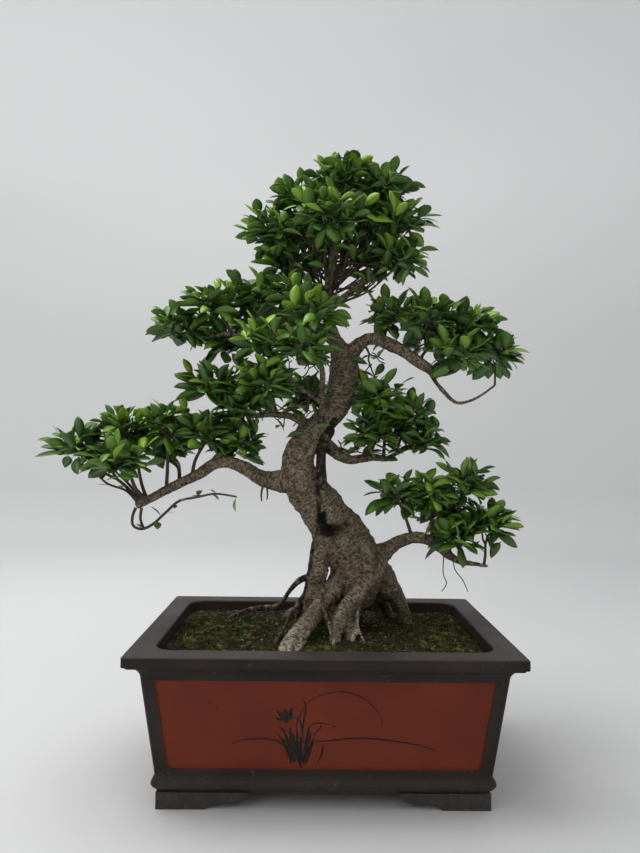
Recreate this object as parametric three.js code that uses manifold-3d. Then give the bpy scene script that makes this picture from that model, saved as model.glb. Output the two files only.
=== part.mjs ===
// A Chinese banyan bonsai grown in a rectangular two-colour clay pot.
// Millimetres, +Z up. While the pieces are made, the middle of the pot's underside is the zero
// point. At the end the whole tree and pot are moved so that zero is under the middle of the object.

import * as THREE from "three";
import { mergeVertices } from "three/addons/utils/BufferGeometryUtils.js";
import Module from "manifold-3d";

const wasm = await Module();
wasm.setup();

// Driving dimensions of the pot
const potLength = 500;
const potDepth = 330;
const potHeight = 200;
const rimBand = 13;
const rimWidth = 32;
const neckInset = 19.5;
const baseInset = 36;
const footHeight = 20;
const floorTop = 36;
const wallThickness = 13;
const outerCornerRadius = 7;
const innerCornerRadius = 26;
const drainRadius = 15;
const drainSpacing = 105;

// Fit between neighbouring pieces
const gap = 0.3;
const leafGap = 0.4;

// How far a cutting shape runs past what it cuts
const overrun = 10;

// Levels inside the pot
const gritTop = 50;
const soilEdge = 183;
const soilMound = 13;

// Finishes
function finish(colour, roughness) {
  return new THREE.MeshStandardMaterial({ color: colour, roughness, metalness: 0 });
}
const clay = finish("#3a3330", 0.7);
const gritFinish = finish("#8a7a6a", 0.95);
const netFinish = finish("#1d1f1e", 0.6);
const soilFinish = finish("#2c221a", 0.95);
const mossFinish = finish("#41511f", 0.95);
const barkFinish = finish("#7c6c5a", 0.85);
const leafFinish = finish("#2f5a1c", 0.4);

// Turns a closed shape into a solid that can be joined and cut
function solid(geometry) {
  const bare = geometry.clone();
  bare.deleteAttribute("normal");
  bare.deleteAttribute("uv");
  const merged = mergeVertices(bare, 1e-4);
  const corners = merged.index.array;
  const kept = [];
  for (let i = 0; i < corners.length; i += 3) {
    const [a, b, c] = [corners[i], corners[i + 1], corners[i + 2]];
    if (a !== b && b !== c && c !== a) kept.push(a, b, c);
  }
  const mesh = new wasm.Mesh({
    numProp: 3,
    vertProperties: merged.attributes.position.array,
    triVerts: new Uint32Array(kept),
  });
  return new wasm.Manifold(mesh);
}

// Turns a solid back into a mesh that carries the piece's name
function piece(name, body, material) {
  const mesh = body.getMesh();
  const geometry = new THREE.BufferGeometry();
  geometry.setAttribute("position", new THREE.BufferAttribute(mesh.vertProperties, 3));
  geometry.setIndex(new THREE.BufferAttribute(mesh.triVerts, 1));
  geometry.computeVertexNormals();
  const made = new THREE.Mesh(geometry, material);
  made.name = name;
  return made;
}

function joined(bodies) {
  return bodies.reduce((whole, next) => whole.add(next));
}

// Moves every corner of a shape to the place that the rule gives for it
function reshape(geometry, rule) {
  const place = geometry.attributes.position;
  const corner = new THREE.Vector3();
  for (let i = 0; i < place.count; i++) {
    corner.fromBufferAttribute(place, i);
    rule(corner);
    place.setXYZ(i, corner.x, corner.y, corner.z);
  }
  return geometry;
}

// A box between two opposite corners
function block(low, high) {
  const size = high.map((value, i) => value - low[i]);
  const middle = high.map((value, i) => (value + low[i]) / 2);
  return solid(new THREE.BoxGeometry(...size).translate(...middle));
}

// The pot: one fired piece

function roundedRectangle(length, width, radius) {
  const x = length / 2 - radius;
  const y = width / 2 - radius;
  const outline = new THREE.Shape();
  outline.absarc(x, y, radius, 0, Math.PI / 2);
  outline.absarc(-x, y, radius, Math.PI / 2, Math.PI);
  outline.absarc(-x, -y, radius, Math.PI, 1.5 * Math.PI);
  outline.absarc(x, -y, radius, 1.5 * Math.PI, 2 * Math.PI);
  return outline;
}

// A rectangular vessel wall from a list of [height, inset from the rim's outer edge]
function vessel(profile, cornerRadius) {
  const outline = roundedRectangle(potLength, potDepth, cornerRadius);
  const levels = profile.length - 1;
  const straight = new THREE.ExtrudeGeometry(outline, {
    depth: levels,
    steps: levels,
    bevelEnabled: false,
    curveSegments: 2,
  });
  const shaped = reshape(straight, (corner) => {
    const [height, inset] = profile[Math.round(corner.z)];
    corner.x -= Math.sign(corner.x) * inset;
    corner.y -= Math.sign(corner.y) * inset;
    corner.z = height;
  });
  return solid(shaped);
}

const bandBottom = potHeight - rimBand;
const rimEdge = 1.5;
const stepInset = 3;
const stepBottom = bandBottom - 3;
const coveStart = 8;
const coveRadius = neckInset - coveStart;
const beadBottom = 26;
const beadTop = 42;
const beadBulge = 4;
const undersideInset = 6;
const belowBeadInset = 3;

function outerProfile() {
  const profile = [
    [footHeight, baseInset + undersideInset],
    [beadBottom - 1, baseInset + belowBeadInset],
  ];
  for (const turn of [0, 0.25, 0.5, 0.75, 1]) {
    const height = beadBottom + turn * (beadTop - beadBottom);
    profile.push([height, baseInset - beadBulge * Math.sin(Math.PI * turn)]);
  }
  for (const turn of [0, 1 / 3, 2 / 3, 1]) {
    const angle = (turn * Math.PI) / 2;
    const height = stepBottom - coveRadius * (1 - Math.sin(angle));
    profile.push([height, neckInset - coveRadius * (1 - Math.cos(angle))]);
  }
  profile.push(
    [stepBottom, stepInset],
    [bandBottom, stepInset],
    [bandBottom, 0],
    [potHeight - rimEdge, 0],
    [potHeight, rimEdge],
  );
  return profile;
}

// The space inside the wall, drawn in by the clearance that its filling keeps
function innerSpace(clearance, bottom, top) {
  const lowInset = baseInset + wallThickness + clearance;
  const highInset = rimWidth + clearance;
  const floorCorner = [6, 4];
  return vessel(
    [
      [bottom, lowInset + floorCorner[1]],
      [bottom + floorCorner[0], lowInset],
      [potHeight - rimBand, highInset + 1],
      [top, highInset],
    ],
    innerCornerRadius,
  );
}

// One face of a corner foot: flat where it stands, then an ogee up to the base
function footFace(flatLength, wingLength) {
  const lip = 7;
  const end = flatLength + wingLength;
  const curlLength = 18;
  const intoBase = footHeight + 1;
  const face = new THREE.Shape();
  face.moveTo(0, 0);
  face.lineTo(flatLength, 0);
  face.quadraticCurveTo(flatLength + 2, lip, flatLength + lip, lip);
  face.lineTo(end - curlLength, lip + 2);
  face.quadraticCurveTo(end - 4, lip + 4, end, intoBase);
  face.lineTo(0, intoBase);
  face.closePath();
  return face;
}

// A bracket foot at the corner on the side that the two signs give
function foot(signX, signY) {
  const inset = baseInset + 2;
  const thickness = 26;
  const alongLength = { flat: 62, wing: 56 };
  const alongDepth = { flat: 50, wing: 40 };
  const reach = [
    potLength / 2 - inset,
    potDepth / 2 - inset,
  ];
  const options = { depth: thickness, bevelEnabled: false, curveSegments: 3 };
  const long = new THREE.ExtrudeGeometry(footFace(alongLength.flat, alongLength.wing), options);
  long.rotateX(Math.PI / 2).translate(-reach[0], thickness - reach[1], 0);
  const short = new THREE.ExtrudeGeometry(footFace(alongDepth.flat, alongDepth.wing), options);
  short.rotateX(Math.PI / 2).rotateZ(Math.PI / 2).translate(-reach[0], -reach[1], 0);
  const corner = solid(long).add(solid(short));
  return corner.scale([-signX, -signY, 1]);
}

// The shallow panel on one side, cut square to the sloping wall
const panelBottom = 52;
const panelTop = 166;
const panelMargin = 18;
const panelDepth = 1.8;
const panelCorner = 6;

function panelCutter(length, halfDepth) {
  const lean = Math.atan2(baseInset - neckInset, panelTop - beadTop);
  const topHalf = length / 2 - neckInset - panelMargin;
  const bottomHalf = length / 2 - baseInset - panelMargin + 1;
  const rise = (panelTop - panelBottom) / Math.cos(lean);
  const rounding = panelCorner;
  const outline = new THREE.Shape();
  outline.moveTo(-bottomHalf + rounding, 0);
  outline.lineTo(bottomHalf - rounding, 0);
  outline.quadraticCurveTo(bottomHalf, 0, bottomHalf + 1, rounding);
  outline.lineTo(topHalf, rise);
  outline.lineTo(-topHalf, rise);
  outline.lineTo(-bottomHalf - 1, rounding);
  outline.quadraticCurveTo(-bottomHalf, 0, -bottomHalf + rounding, 0);
  const cutter = new THREE.ExtrudeGeometry(outline, {
    depth: overrun,
    bevelEnabled: false,
    curveSegments: 3,
  });
  const insetAtBottom = baseInset - Math.tan(lean) * (panelBottom - beadTop);
  cutter.rotateX(Math.PI / 2 + lean);
  cutter.translate(0, -(halfDepth - insetAtBottom) + panelDepth, panelBottom);
  return solid(cutter);
}

function makePot() {
  let pot = vessel(outerProfile(), outerCornerRadius);
  pot = pot.subtract(innerSpace(0, floorTop, potHeight + overrun));
  for (const side of [-1, 1]) {
    const drain = new THREE.CylinderGeometry(drainRadius, drainRadius, 2 * floorTop, 16);
    drain.rotateX(Math.PI / 2).translate(side * drainSpacing, 0, floorTop);
    pot = pot.subtract(solid(drain));
  }
  for (const signX of [-1, 1]) {
    for (const signY of [-1, 1]) pot = pot.add(foot(signX, signY));
  }
  const longPanel = panelCutter(potLength, potDepth / 2);
  const shortPanel = panelCutter(potDepth, potLength / 2);
  return pot
    .subtract(longPanel)
    .subtract(longPanel.rotate([0, 0, 180]))
    .subtract(shortPanel.rotate([0, 0, 90]))
    .subtract(shortPanel.rotate([0, 0, -90]));
}

// What lies on the pot's floor: a plastic net over each drain hole, and a layer of coarse grit

const netSize = 45;
const netThickness = 1.2;

function makeNet(side) {
  const cells = 3;
  const bar = 3;
  const pitch = (netSize - bar) / cells;
  const left = side * drainSpacing - netSize / 2;
  const near = -netSize / 2;
  const bottom = floorTop + gap;
  let net = block([left, near, bottom], [left + netSize, near + netSize, bottom + netThickness]);
  for (let row = 0; row < cells; row++) {
    for (let column = 0; column < cells; column++) {
      const x = left + bar + column * pitch;
      const y = near + bar + row * pitch;
      const top = bottom + netThickness + 1;
      const hole = block([x, y, bottom - 1], [x + pitch - bar, y + pitch - bar, top]);
      net = net.subtract(hole);
    }
  }
  return net;
}

function makeGrit() {
  let grit = innerSpace(gap, floorTop + gap, potHeight).intersect(
    block([-potLength, -potDepth, 0], [potLength, potDepth, gritTop]),
  );
  for (const side of [-1, 1]) {
    const half = netSize / 2 + gap;
    const middle = side * drainSpacing;
    const top = floorTop + netThickness + 2 * gap;
    grit = grit.subtract(block([middle - half, -half, 0], [middle + half, half, top]));
  }
  return grit;
}

// The soil: level at the wall, heaped up round the foot of the tree

const heapMiddle = [-20, -5];
const heapReach = [150, 95];

function soilHeight(x, y) {
  const across = (x - heapMiddle[0]) / heapReach[0];
  const deep = (y - heapMiddle[1]) / heapReach[1];
  const heap = Math.exp(-(across * across + deep * deep));
  return soilEdge + soilMound * heap;
}

// A slab whose underside and top both follow the soil, lifted by the two amounts
function soilSlab(bottomLift, topLift) {
  const across = 11;
  const deep = 8;
  const inset = 40;
  const slab = new THREE.BoxGeometry(potLength - inset, potDepth - inset, 2, across, deep, 1);
  return solid(
    reshape(slab, (corner) => {
      const lift = corner.z < 0 ? bottomLift : topLift;
      corner.z = soilHeight(corner.x, corner.y) + lift;
    }),
  );
}

function makeSoil(clearOfWood) {
  const space = innerSpace(gap, floorTop + gap, potHeight + overrun);
  const heaped = soilSlab(-potHeight, 0);
  const bottom = gritTop + gap;
  const above = block([-potLength, -potDepth, bottom], [potLength, potDepth, potHeight + overrun]);
  return space.intersect(heaped).intersect(above).subtract(clearOfWood);
}

// A mat of moss on the soil, with a wavy outline round the middle that is given
function makeMoss(middle, reach, thickness, clearOfWood) {
  const outline = [];
  const points = 18;
  const broadWave = 0.12;
  const fineWave = 0.08;
  for (let i = 0; i < points; i++) {
    const angle = (2 * Math.PI * i) / points;
    const wave =
      1 + broadWave * Math.sin(3 * angle + middle[0]) + fineWave * Math.sin(5 * angle);
    outline.push(
      new THREE.Vector2(
        middle[0] + wave * reach[0] * Math.cos(angle),
        middle[1] + wave * reach[1] * Math.sin(angle),
      ),
    );
  }
  const options = { depth: potHeight, bevelEnabled: false };
  const patch = new THREE.ExtrudeGeometry(new THREE.Shape(outline), options);
  const inside = innerSpace(1, floorTop + gap, potHeight + overrun);
  return soilSlab(-soilMound, thickness)
    .intersect(solid(patch.translate(0, 0, gritTop)))
    .intersect(inside)
    .subtract(soilSlab(-4 * soilMound, gap))
    .subtract(clearOfWood);
}

// The tree: trunk, roots and branches grown as one piece of wood.
// Every limb is a growth line of stations, each [x, y, z, radius].

const limbs = {
  trunk: {
    sides: 12,
    fluting: 0.07,
    line: [
      [38, 16, 172, 24],
      [38, 16, 192, 27],
      [41, 12, 216, 29],
      [44, 8, 240, 34],
      [47, 6, 264, 38],
      [45, 4, 290, 39],
      [32, 2, 315, 38],
      [13, 0, 342, 36],
      [-8, -1, 370, 33],
      [-28, -2, 396, 29],
      [-40, -4, 421, 25],
      [-41, -4, 440, 23.5],
      [-34, -3, 459, 22],
      [-22, 0, 477, 21],
      [-4, 3, 496, 19.5],
      [11, 5, 515, 20],
      [19, 5, 536, 20.5],
      [25, 4, 559, 22.5],
      [26, 2, 581, 21],
      [20, 2, 602, 15],
      [10, 4, 623, 10.5],
      [2, 6, 648, 9],
      [-3, 6, 674, 8],
      [0, 5, 700, 6.5],
      [8, 3, 735, 5],
      [16, 1, 775, 4],
      [22, 0, 815, 3],
    ],
  },
  shoulder: {
    sides: 10,
    fluting: 0.05,
    line: [
      [66, 6, 262, 22],
      [58, 2, 300, 24],
      [38, 0, 336, 22],
      [14, 0, 366, 18],
      [-6, 0, 388, 14],
    ],
  },
  healedStub: {
    sides: 8,
    line: [
      [-38, -4, 452, 17],
      [-36, -4, 472, 15],
      [-34, -5, 488, 9],
    ],
  },
  aerialStrand: {
    sides: 8,
    line: [
      [10, -8, 500, 6],
      [9, -14, 486, 7.3],
      [-2, -17, 468, 7.5],
      [-7, -17, 446, 7.5],
      [-7, -16, 424, 8],
      [-7, -18, 400, 8.5],
      [-9, -24, 376, 6],
      [-10, -30, 356, 4],
    ],
  },
  thinStrand: {
    sides: 6,
    line: [
      [-12, -20, 415, 2.8],
      [-12, -31, 392, 2.8],
      [-10, -34, 370, 2.8],
      [-12, -34, 342, 2.8],
      [-18, -26, 318, 2.8],
      [-22, -22, 288, 2.6],
      [-27, -24, 258, 2.6],
      [-36, -28, 226, 2.6],
      [-44, -34, 190, 2.6],
    ],
  },
  leftLeg: {
    sides: 10,
    fluting: 0.05,
    line: [
      [6, 0, 350, 15],
      [1, -8, 326, 15],
      [-5, -14, 304, 14],
      [-9, -17, 280, 13.2],
      [-14, -18, 256, 12.8],
      [-22, -17, 230, 12.2],
      [-31, -14, 206, 11.5],
      [-38, -11, 176, 10],
    ],
  },
  frontRoot: {
    sides: 10,
    fluting: 0.06,
    line: [
      [26, -4, 266, 17],
      [8, -24, 248, 14],
      [-10, -45, 230, 12],
      [-28, -65, 212, 12.5],
      [-41, -82, 197, 14.5],
      [-49, -95, 182, 15],
      [-54, -104, 166, 11],
    ],
  },
  crossingRoot: {
    sides: 10,
    line: [
      [84, -4, 290, 14],
      [64, -25, 265, 11.8],
      [43, -40, 246, 11.5],
      [27, -50, 231, 11],
      [18, -55, 213, 9.5],
      [14, -58, 188, 8],
      [12, -60, 168, 6],
    ],
  },
  stubRoot: {
    sides: 8,
    line: [
      [48, -14, 256, 14],
      [38, -34, 232, 11],
      [34, -44, 212, 10],
      [36, -49, 194, 8.5],
      [38, -52, 170, 6],
    ],
  },
  rightButtress: {
    sides: 10,
    line: [
      [68, 2, 290, 23],
      [88, 18, 260, 20],
      [108, 35, 233, 14.5],
      [121, 45, 210, 12],
      [127, 52, 189, 11],
      [131, 57, 164, 8],
    ],
  },
  backRightRoot: {
    sides: 8,
    line: [
      [60, 22, 264, 22],
      [78, 46, 238, 16],
      [93, 70, 214, 12.5],
      [104, 88, 192, 10],
      [110, 98, 166, 7],
    ],
  },
  backRoot: {
    sides: 8,
    line: [
      [36, 22, 252, 23],
      [31, 48, 227, 15],
      [25, 74, 205, 11],
      [20, 92, 188, 9],
      [17, 102, 166, 6],
    ],
  },
  backLeftRoot: {
    sides: 8,
    line: [
      [24, 18, 236, 17],
      [0, 36, 221, 12.5],
      [-27, 54, 206, 10],
      [-52, 70, 193, 8.5],
      [-70, 82, 168, 6],
    ],
  },
  archRoot: {
    sides: 6,
    line: [
      [-10, -8, 268, 6],
      [-27, -2, 266, 5.5],
      [-40, 8, 257, 4.8],
      [-52, 26, 240, 3.8],
      [-64, 58, 216, 3.4],
      [-78, 82, 203, 4],
      [-97, 88, 200, 4.4],
      [-120, 86, 196, 4],
      [-144, 68, 190, 3.2],
      [-160, 54, 178, 2.6],
    ],
  },
  sideRoot: {
    sides: 6,
    line: [
      [-20, -14, 254, 3.6],
      [-34, -24, 240, 3.4],
      [-46, -38, 222, 3.2],
      [-58, -54, 204, 3],
      [-68, -70, 190, 2.8],
      [-76, -84, 174, 2.6],
    ],
  },
  looseRoot: {
    sides: 6,
    line: [
      [4, -24, 284, 3],
      [-2, -34, 264, 3.2],
      [-4, -43, 246, 3.4],
      [1, -53, 230, 3.2],
      [8, -61, 213, 2.9],
      [15, -70, 196, 2.6],
      [20, -78, 176, 2.4],
    ],
  },
  paleRoot: {
    sides: 6,
    line: [
      [52, -30, 246, 3],
      [47, -43, 228, 2.6],
      [46, -52, 208, 2.5],
      [38, -62, 190, 2.4],
      [34, -66, 174, 2.4],
    ],
  },
  paleFork: {
    sides: 6,
    line: [
      [46, -51, 211, 2.5],
      [51, -58, 198, 2.4],
      [56, -64, 186, 2.4],
      [58, -66, 172, 2.4],
    ],
  },
  leftBranch: {
    sides: 10,
    line: [
      [-30, -2, 420, 22],
      [-48, -4, 411, 19],
      [-66, -5, 407, 16],
      [-84, -6, 409, 13.2],
      [-100, -8, 414, 11.7],
      [-118, -10, 425, 10.3],
      [-139, -12, 434, 8.8],
      [-162, -15, 432, 8.2],
      [-184, -18, 417, 7.8],
      [-205, -21, 406, 7.2],
      [-226, -24, 395, 6.9],
      [-248, -27, 383, 6.3],
      [-265, -29, 374, 6.3],
      [-271, -30, 370, 5.4],
    ],
  },
  lowRightBranch: {
    sides: 10,
    line: [
      [52, 2, 280, 24],
      [68, 1, 288, 20],
      [83, 0, 301, 15.5],
      [96, -3, 312, 11.3],
      [110, -6, 321, 10],
      [128, -9, 327, 8.8],
      [146, -12, 326, 8.2],
      [165, -15, 316, 7.6],
      [182, -17, 302, 6.2],
      [198, -19, 294, 4.8],
      [217, -21, 292, 3.5],
      [236, -23, 289, 2.6],
    ],
  },
  highRightBranch: {
    sides: 9,
    line: [
      [26, 2, 578, 16],
      [34, 1, 596, 13],
      [44, 0, 609, 11],
      [57, -3, 619, 9.7],
      [73, -6, 620, 9.7],
      [94, -9, 611, 9.3],
      [116, -12, 599, 8.9],
      [138, -14, 583, 8.3],
      [160, -16, 570, 6.6],
      [176, -17, 569, 4.7],
      [194, -18, 576, 3.5],
    ],
  },
  highRightLoop: {
    sides: 6,
    line: [
      [150, -15, 572, 4.5],
      [160, -15, 556, 3.6],
      [172, -14, 542, 3.4],
      [186, -12, 529, 3],
      [198, -10, 526, 2.8],
      [218, -8, 532, 2.5],
      [236, -7, 543, 2.2],
      [252, -6, 556, 2],
    ],
  },
  middleRightBranch: {
    sides: 8,
    line: [
      [-18, 4, 474, 12],
      [2, 12, 462, 10.5],
      [19, 16, 447, 9],
      [37, 20, 440, 7.6],
      [55, 22, 442, 6.8],
      [74, 24, 444, 6],
      [92, 26, 442, 4.8],
      [112, 28, 452, 3.7],
      [134, 28, 462, 2.8],
    ],
  },
  innerLeftBranch: {
    sides: 8,
    line: [
      [-10, 2, 490, 10],
      [-28, -4, 492, 7.5],
      [-52, -12, 502, 6],
      [-80, -18, 505, 5.2],
      [-112, -20, 503, 4.2],
      [-140, -20, 514, 3],
    ],
  },
  highLeftBranch: {
    sides: 8,
    line: [
      [14, 3, 612, 10],
      [-4, 0, 628, 8.5],
      [-30, -6, 636, 7],
      [-62, -10, 636, 6],
      [-100, -10, 628, 5.2],
      [-142, -10, 624, 4.2],
      [-186, -8, 618, 3],
    ],
  },
  frontBranch: {
    sides: 8,
    line: [
      [-4, -6, 484, 8],
      [-7, -20, 496, 5.8],
      [-8, -30, 518, 5],
      [-8, -40, 542, 4.6],
      [-8, -52, 564, 4],
      [-14, -66, 588, 3.2],
    ],
  },
  frontSideBranch: {
    sides: 6,
    line: [
      [-8, -32, 522, 4.2],
      [-24, -42, 532, 3.6],
      [-46, -54, 546, 3.2],
      [-66, -66, 568, 2.8],
    ],
  },
  backBranch: {
    sides: 8,
    line: [
      [14, 6, 518, 12],
      [20, 28, 526, 8.5],
      [22, 58, 530, 6.5],
      [18, 90, 530, 5],
      [14, 112, 536, 3.5],
    ],
  },
  crownLeft: {
    sides: 6,
    line: [
      [-2, 6, 666, 6.5],
      [-20, 4, 692, 5.2],
      [-42, 2, 722, 4.2],
      [-64, 0, 748, 3.2],
    ],
  },
  crownRight: {
    sides: 6,
    line: [
      [-1, 6, 664, 6.5],
      [24, 4, 684, 5.4],
      [58, 2, 712, 4.6],
      [88, 0, 738, 3.8],
      [104, -2, 766, 3],
    ],
  },
  crownFront: {
    sides: 6,
    line: [
      [-3, 6, 680, 5.5],
      [0, -18, 706, 4.4],
      [4, -44, 732, 3.4],
    ],
  },
  crownBack: {
    sides: 6,
    line: [
      [-3, 6, 676, 6],
      [8, 32, 708, 4.8],
      [20, 56, 742, 3.8],
      [24, 68, 776, 3],
    ],
  },
};

// Sweeps a ring of the station's radius along a growth line. An allowance thickens the limb and
// carries both of its ends further out.
const closestRings = 18;
const ringsPerGirth = 0.15;

function growLimb({ line, sides, fluting = 0 }, allowance = 0) {
  const path = new THREE.CatmullRomCurve3(line.map(([x, y, z]) => new THREE.Vector3(x, y, z)));
  const girth = new THREE.CatmullRomCurve3(line.map((s) => new THREE.Vector3(s[3], 0, 0)));
  const thickest = Math.max(...line.map((s) => s[3]));
  const ringSpacing = closestRings + ringsPerGirth * thickest;
  const rings = Math.max(3, Math.round(path.getLength() / ringSpacing));
  const profile = [new THREE.Vector2(0, 0)];
  for (let ring = 0; ring <= rings; ring++) profile.push(new THREE.Vector2(1, ring));
  profile.push(new THREE.Vector2(0, rings));
  const frames = path.computeFrenetFrames(rings, false);
  const straight = new THREE.LatheGeometry(profile, sides);
  const bent = reshape(straight, (corner) => {
    const ring = Math.round(corner.y);
    const parameter = path.getUtoTmapping(ring / rings);
    const angle = Math.atan2(corner.x, corner.z);
    const flute = 1 + fluting * Math.sin(3 * angle + ring / 4) + 0.5 * fluting * Math.sin(5 * angle);
    const radius = girth.getPoint(parameter).x * flute + allowance;
    const past = { 0: -allowance, [rings]: allowance }[ring] ?? 0;
    const out = new THREE.Vector3()
      .addScaledVector(frames.normals[ring], corner.x * radius)
      .addScaledVector(frames.binormals[ring], -corner.z * radius)
      .addScaledVector(frames.tangents[ring], past);
    corner.copy(path.getPoint(parameter)).add(out);
  });
  return solid(bent);
}

// The shoots: each is a tuft of leaves at the end of a thin stem, and the stem leaves its branch
// at a fraction of that branch's length. Rows are [name, branch, fraction, middle, half sizes].

const shoots = [
  ["crown_top", "trunk", 0.97, [25, 0, 862], [58, 52, 40]],
  ["crown_top_right", "crownRight", 0.95, [88, 8, 850], [50, 48, 40]],
  ["crown_top_left", "trunk", 0.9, [-42, 0, 826], [50, 48, 36]],
  ["crown_left", "crownLeft", 0.9, [-92, -5, 776], [48, 46, 32]],
  ["crown_right", "crownRight", 0.9, [122, -4, 792], [44, 46, 38]],
  ["crown_front", "crownFront", 0.95, [4, -74, 776], [58, 42, 38]],
  ["crown_back_left", "crownBack", 0.9, [-30, 74, 806], [56, 42, 40]],
  ["crown_back_right", "crownBack", 0.95, [76, 72, 808], [52, 42, 40]],
  ["crown_low_left", "crownLeft", 0.7, [-72, 22, 736], [38, 38, 24]],
  ["crown_low_right", "crownRight", 0.65, [116, -8, 736], [40, 42, 22]],
  ["high_left_tip", "highLeftBranch", 0.97, [-222, -5, 628], [42, 44, 28]],
  ["high_left_outer", "highLeftBranch", 0.8, [-168, -22, 656], [44, 44, 32]],
  ["high_left_top", "highLeftBranch", 0.62, [-116, 8, 678], [44, 42, 30]],
  ["high_left_inner", "highLeftBranch", 0.4, [-58, -22, 672], [42, 40, 30]],
  ["high_left_low", "highLeftBranch", 0.85, [-160, 32, 612], [42, 40, 24]],
  ["high_left_back", "highLeftBranch", 0.55, [-110, 72, 648], [54, 40, 30]],
  ["front_top", "frontBranch", 0.97, [-26, -86, 634], [42, 40, 28]],
  ["front_left", "frontSideBranch", 0.95, [-88, -78, 598], [42, 40, 28]],
  ["front_middle", "frontBranch", 0.85, [-36, -100, 586], [38, 36, 24]],
  ["front_low", "frontSideBranch", 0.6, [-88, -58, 544], [40, 36, 26]],
  ["inner_left_tip", "innerLeftBranch", 0.95, [-172, -22, 542], [42, 42, 28]],
  ["inner_left_middle", "innerLeftBranch", 0.7, [-128, -34, 508], [38, 36, 26]],
  ["inner_left_back", "innerLeftBranch", 0.75, [-120, 42, 536], [50, 40, 28]],
  ["left_tip", "leftBranch", 0.97, [-350, -26, 448], [48, 44, 28]],
  ["left_outer", "leftBranch", 0.93, [-288, -22, 476], [42, 42, 30]],
  ["left_middle", "leftBranch", 0.82, [-232, -26, 482], [42, 42, 32]],
  ["left_inner", "leftBranch", 0.68, [-178, -16, 472], [40, 42, 30]],
  ["left_back", "leftBranch", 0.75, [-256, 48, 456], [54, 40, 28]],
  ["left_front", "leftBranch", 0.92, [-286, -72, 434], [44, 38, 24]],
  ["left_crotch", "leftBranch", 0.45, [-132, 12, 458], [34, 34, 20]],
  ["high_right_inner", "highRightBranch", 0.4, [98, 8, 654], [42, 40, 28]],
  ["high_right_middle", "highRightBranch", 0.62, [150, -18, 646], [44, 42, 32]],
  ["high_right_outer", "highRightBranch", 0.9, [206, -14, 632], [44, 44, 32]],
  ["high_right_tip", "highRightLoop", 0.97, [252, -8, 596], [36, 40, 26]],
  ["high_right_low", "highRightBranch", 0.85, [184, -50, 590], [42, 36, 20]],
  ["high_right_back", "highRightBranch", 0.7, [172, 54, 628], [54, 38, 30]],
  ["middle_right_top", "trunk", 0.58, [74, -14, 528], [40, 38, 28]],
  ["middle_right_outer", "middleRightBranch", 0.85, [120, -4, 502], [36, 38, 30]],
  ["middle_right_low", "middleRightBranch", 0.6, [72, 14, 476], [36, 36, 20]],
  ["middle_right_tip", "middleRightBranch", 0.97, [150, 22, 468], [28, 30, 22]],
  ["middle_right_back", "middleRightBranch", 0.7, [96, 72, 500], [46, 38, 28]],
  ["low_right_inner", "lowRightBranch", 0.42, [102, -10, 390], [32, 32, 22]],
  ["low_right_middle", "lowRightBranch", 0.55, [152, -20, 388], [38, 38, 28]],
  ["low_right_top", "lowRightBranch", 0.72, [204, -12, 404], [38, 38, 28]],
  ["low_right_tip", "lowRightBranch", 0.97, [232, -16, 348], [38, 38, 26]],
  ["low_right_under", "lowRightBranch", 0.82, [186, -34, 332], [34, 32, 20]],
  ["low_right_back", "lowRightBranch", 0.75, [182, 36, 356], [46, 38, 28]],
  ["back_left", "backBranch", 0.9, [-30, 122, 540], [46, 40, 26]],
  ["back_right", "backBranch", 0.95, [46, 130, 548], [44, 40, 26]],
];

// The stem that carries a shoot, rising in a slight bow from its branch
const stemRadii = { foot: 2.9, bow: 2.3, tip: 1.9 };
const stemBow = 0.12;

function growStem([, branch, fraction, middle, halfSize], allowance = 0) {
  const carrier = new THREE.CatmullRomCurve3(
    limbs[branch].line.map(([x, y, z]) => new THREE.Vector3(x, y, z)),
  );
  const start = carrier.getPointAt(fraction);
  const tuft = new THREE.Vector3(...middle);
  const intoTuft = 0.5 * Math.min(...halfSize);
  const end = start.clone().lerp(tuft, 1 - intoTuft / start.distanceTo(tuft));
  const bow = start.clone().lerp(end, 0.5);
  bow.z += stemBow * start.distanceTo(end);
  const line = [
    [...start, stemRadii.foot],
    [...bow, stemRadii.bow],
    [...end, stemRadii.tip],
  ];
  return growLimb({ line, sides: 4 }, allowance);
}

// A tuft of leaves as one lumpy closed body, full above and flat below
const flatBelow = 0.7;
const fullness = 1.03;
const lumpHeight = 0.07;

function makeTuft([, , , middle, halfSize], allowance = 0) {
  const ball = new THREE.IcosahedronGeometry(1, 1);
  const phase = middle[0] + middle[2];
  return solid(
    reshape(ball, (corner) => {
      const wave = Math.sin(4 * corner.x + phase) * Math.cos(4 * corner.y - phase);
      const lump = 1 + lumpHeight * wave;
      const squash = corner.z < 0 ? flatBelow : 1;
      const size = [lump, lump, lump * squash].map((f, i) => fullness * f * halfSize[i] + allowance);
      corner.x = middle[0] + corner.x * size[0];
      corner.y = middle[1] + corner.y * size[1];
      corner.z = middle[2] + corner.z * size[2];
    }),
  );
}

function makeWood(allowance = 0) {
  const parts = Object.values(limbs).map((limb) => growLimb(limb, allowance));
  const stems = shoots.map((shoot) => growStem(shoot, allowance));
  return joined([...parts, ...stems]);
}

// Assembly

const bonsai = new THREE.Group();
const wood = makeWood();
const clearOfWood = makeWood(leafGap);

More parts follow.
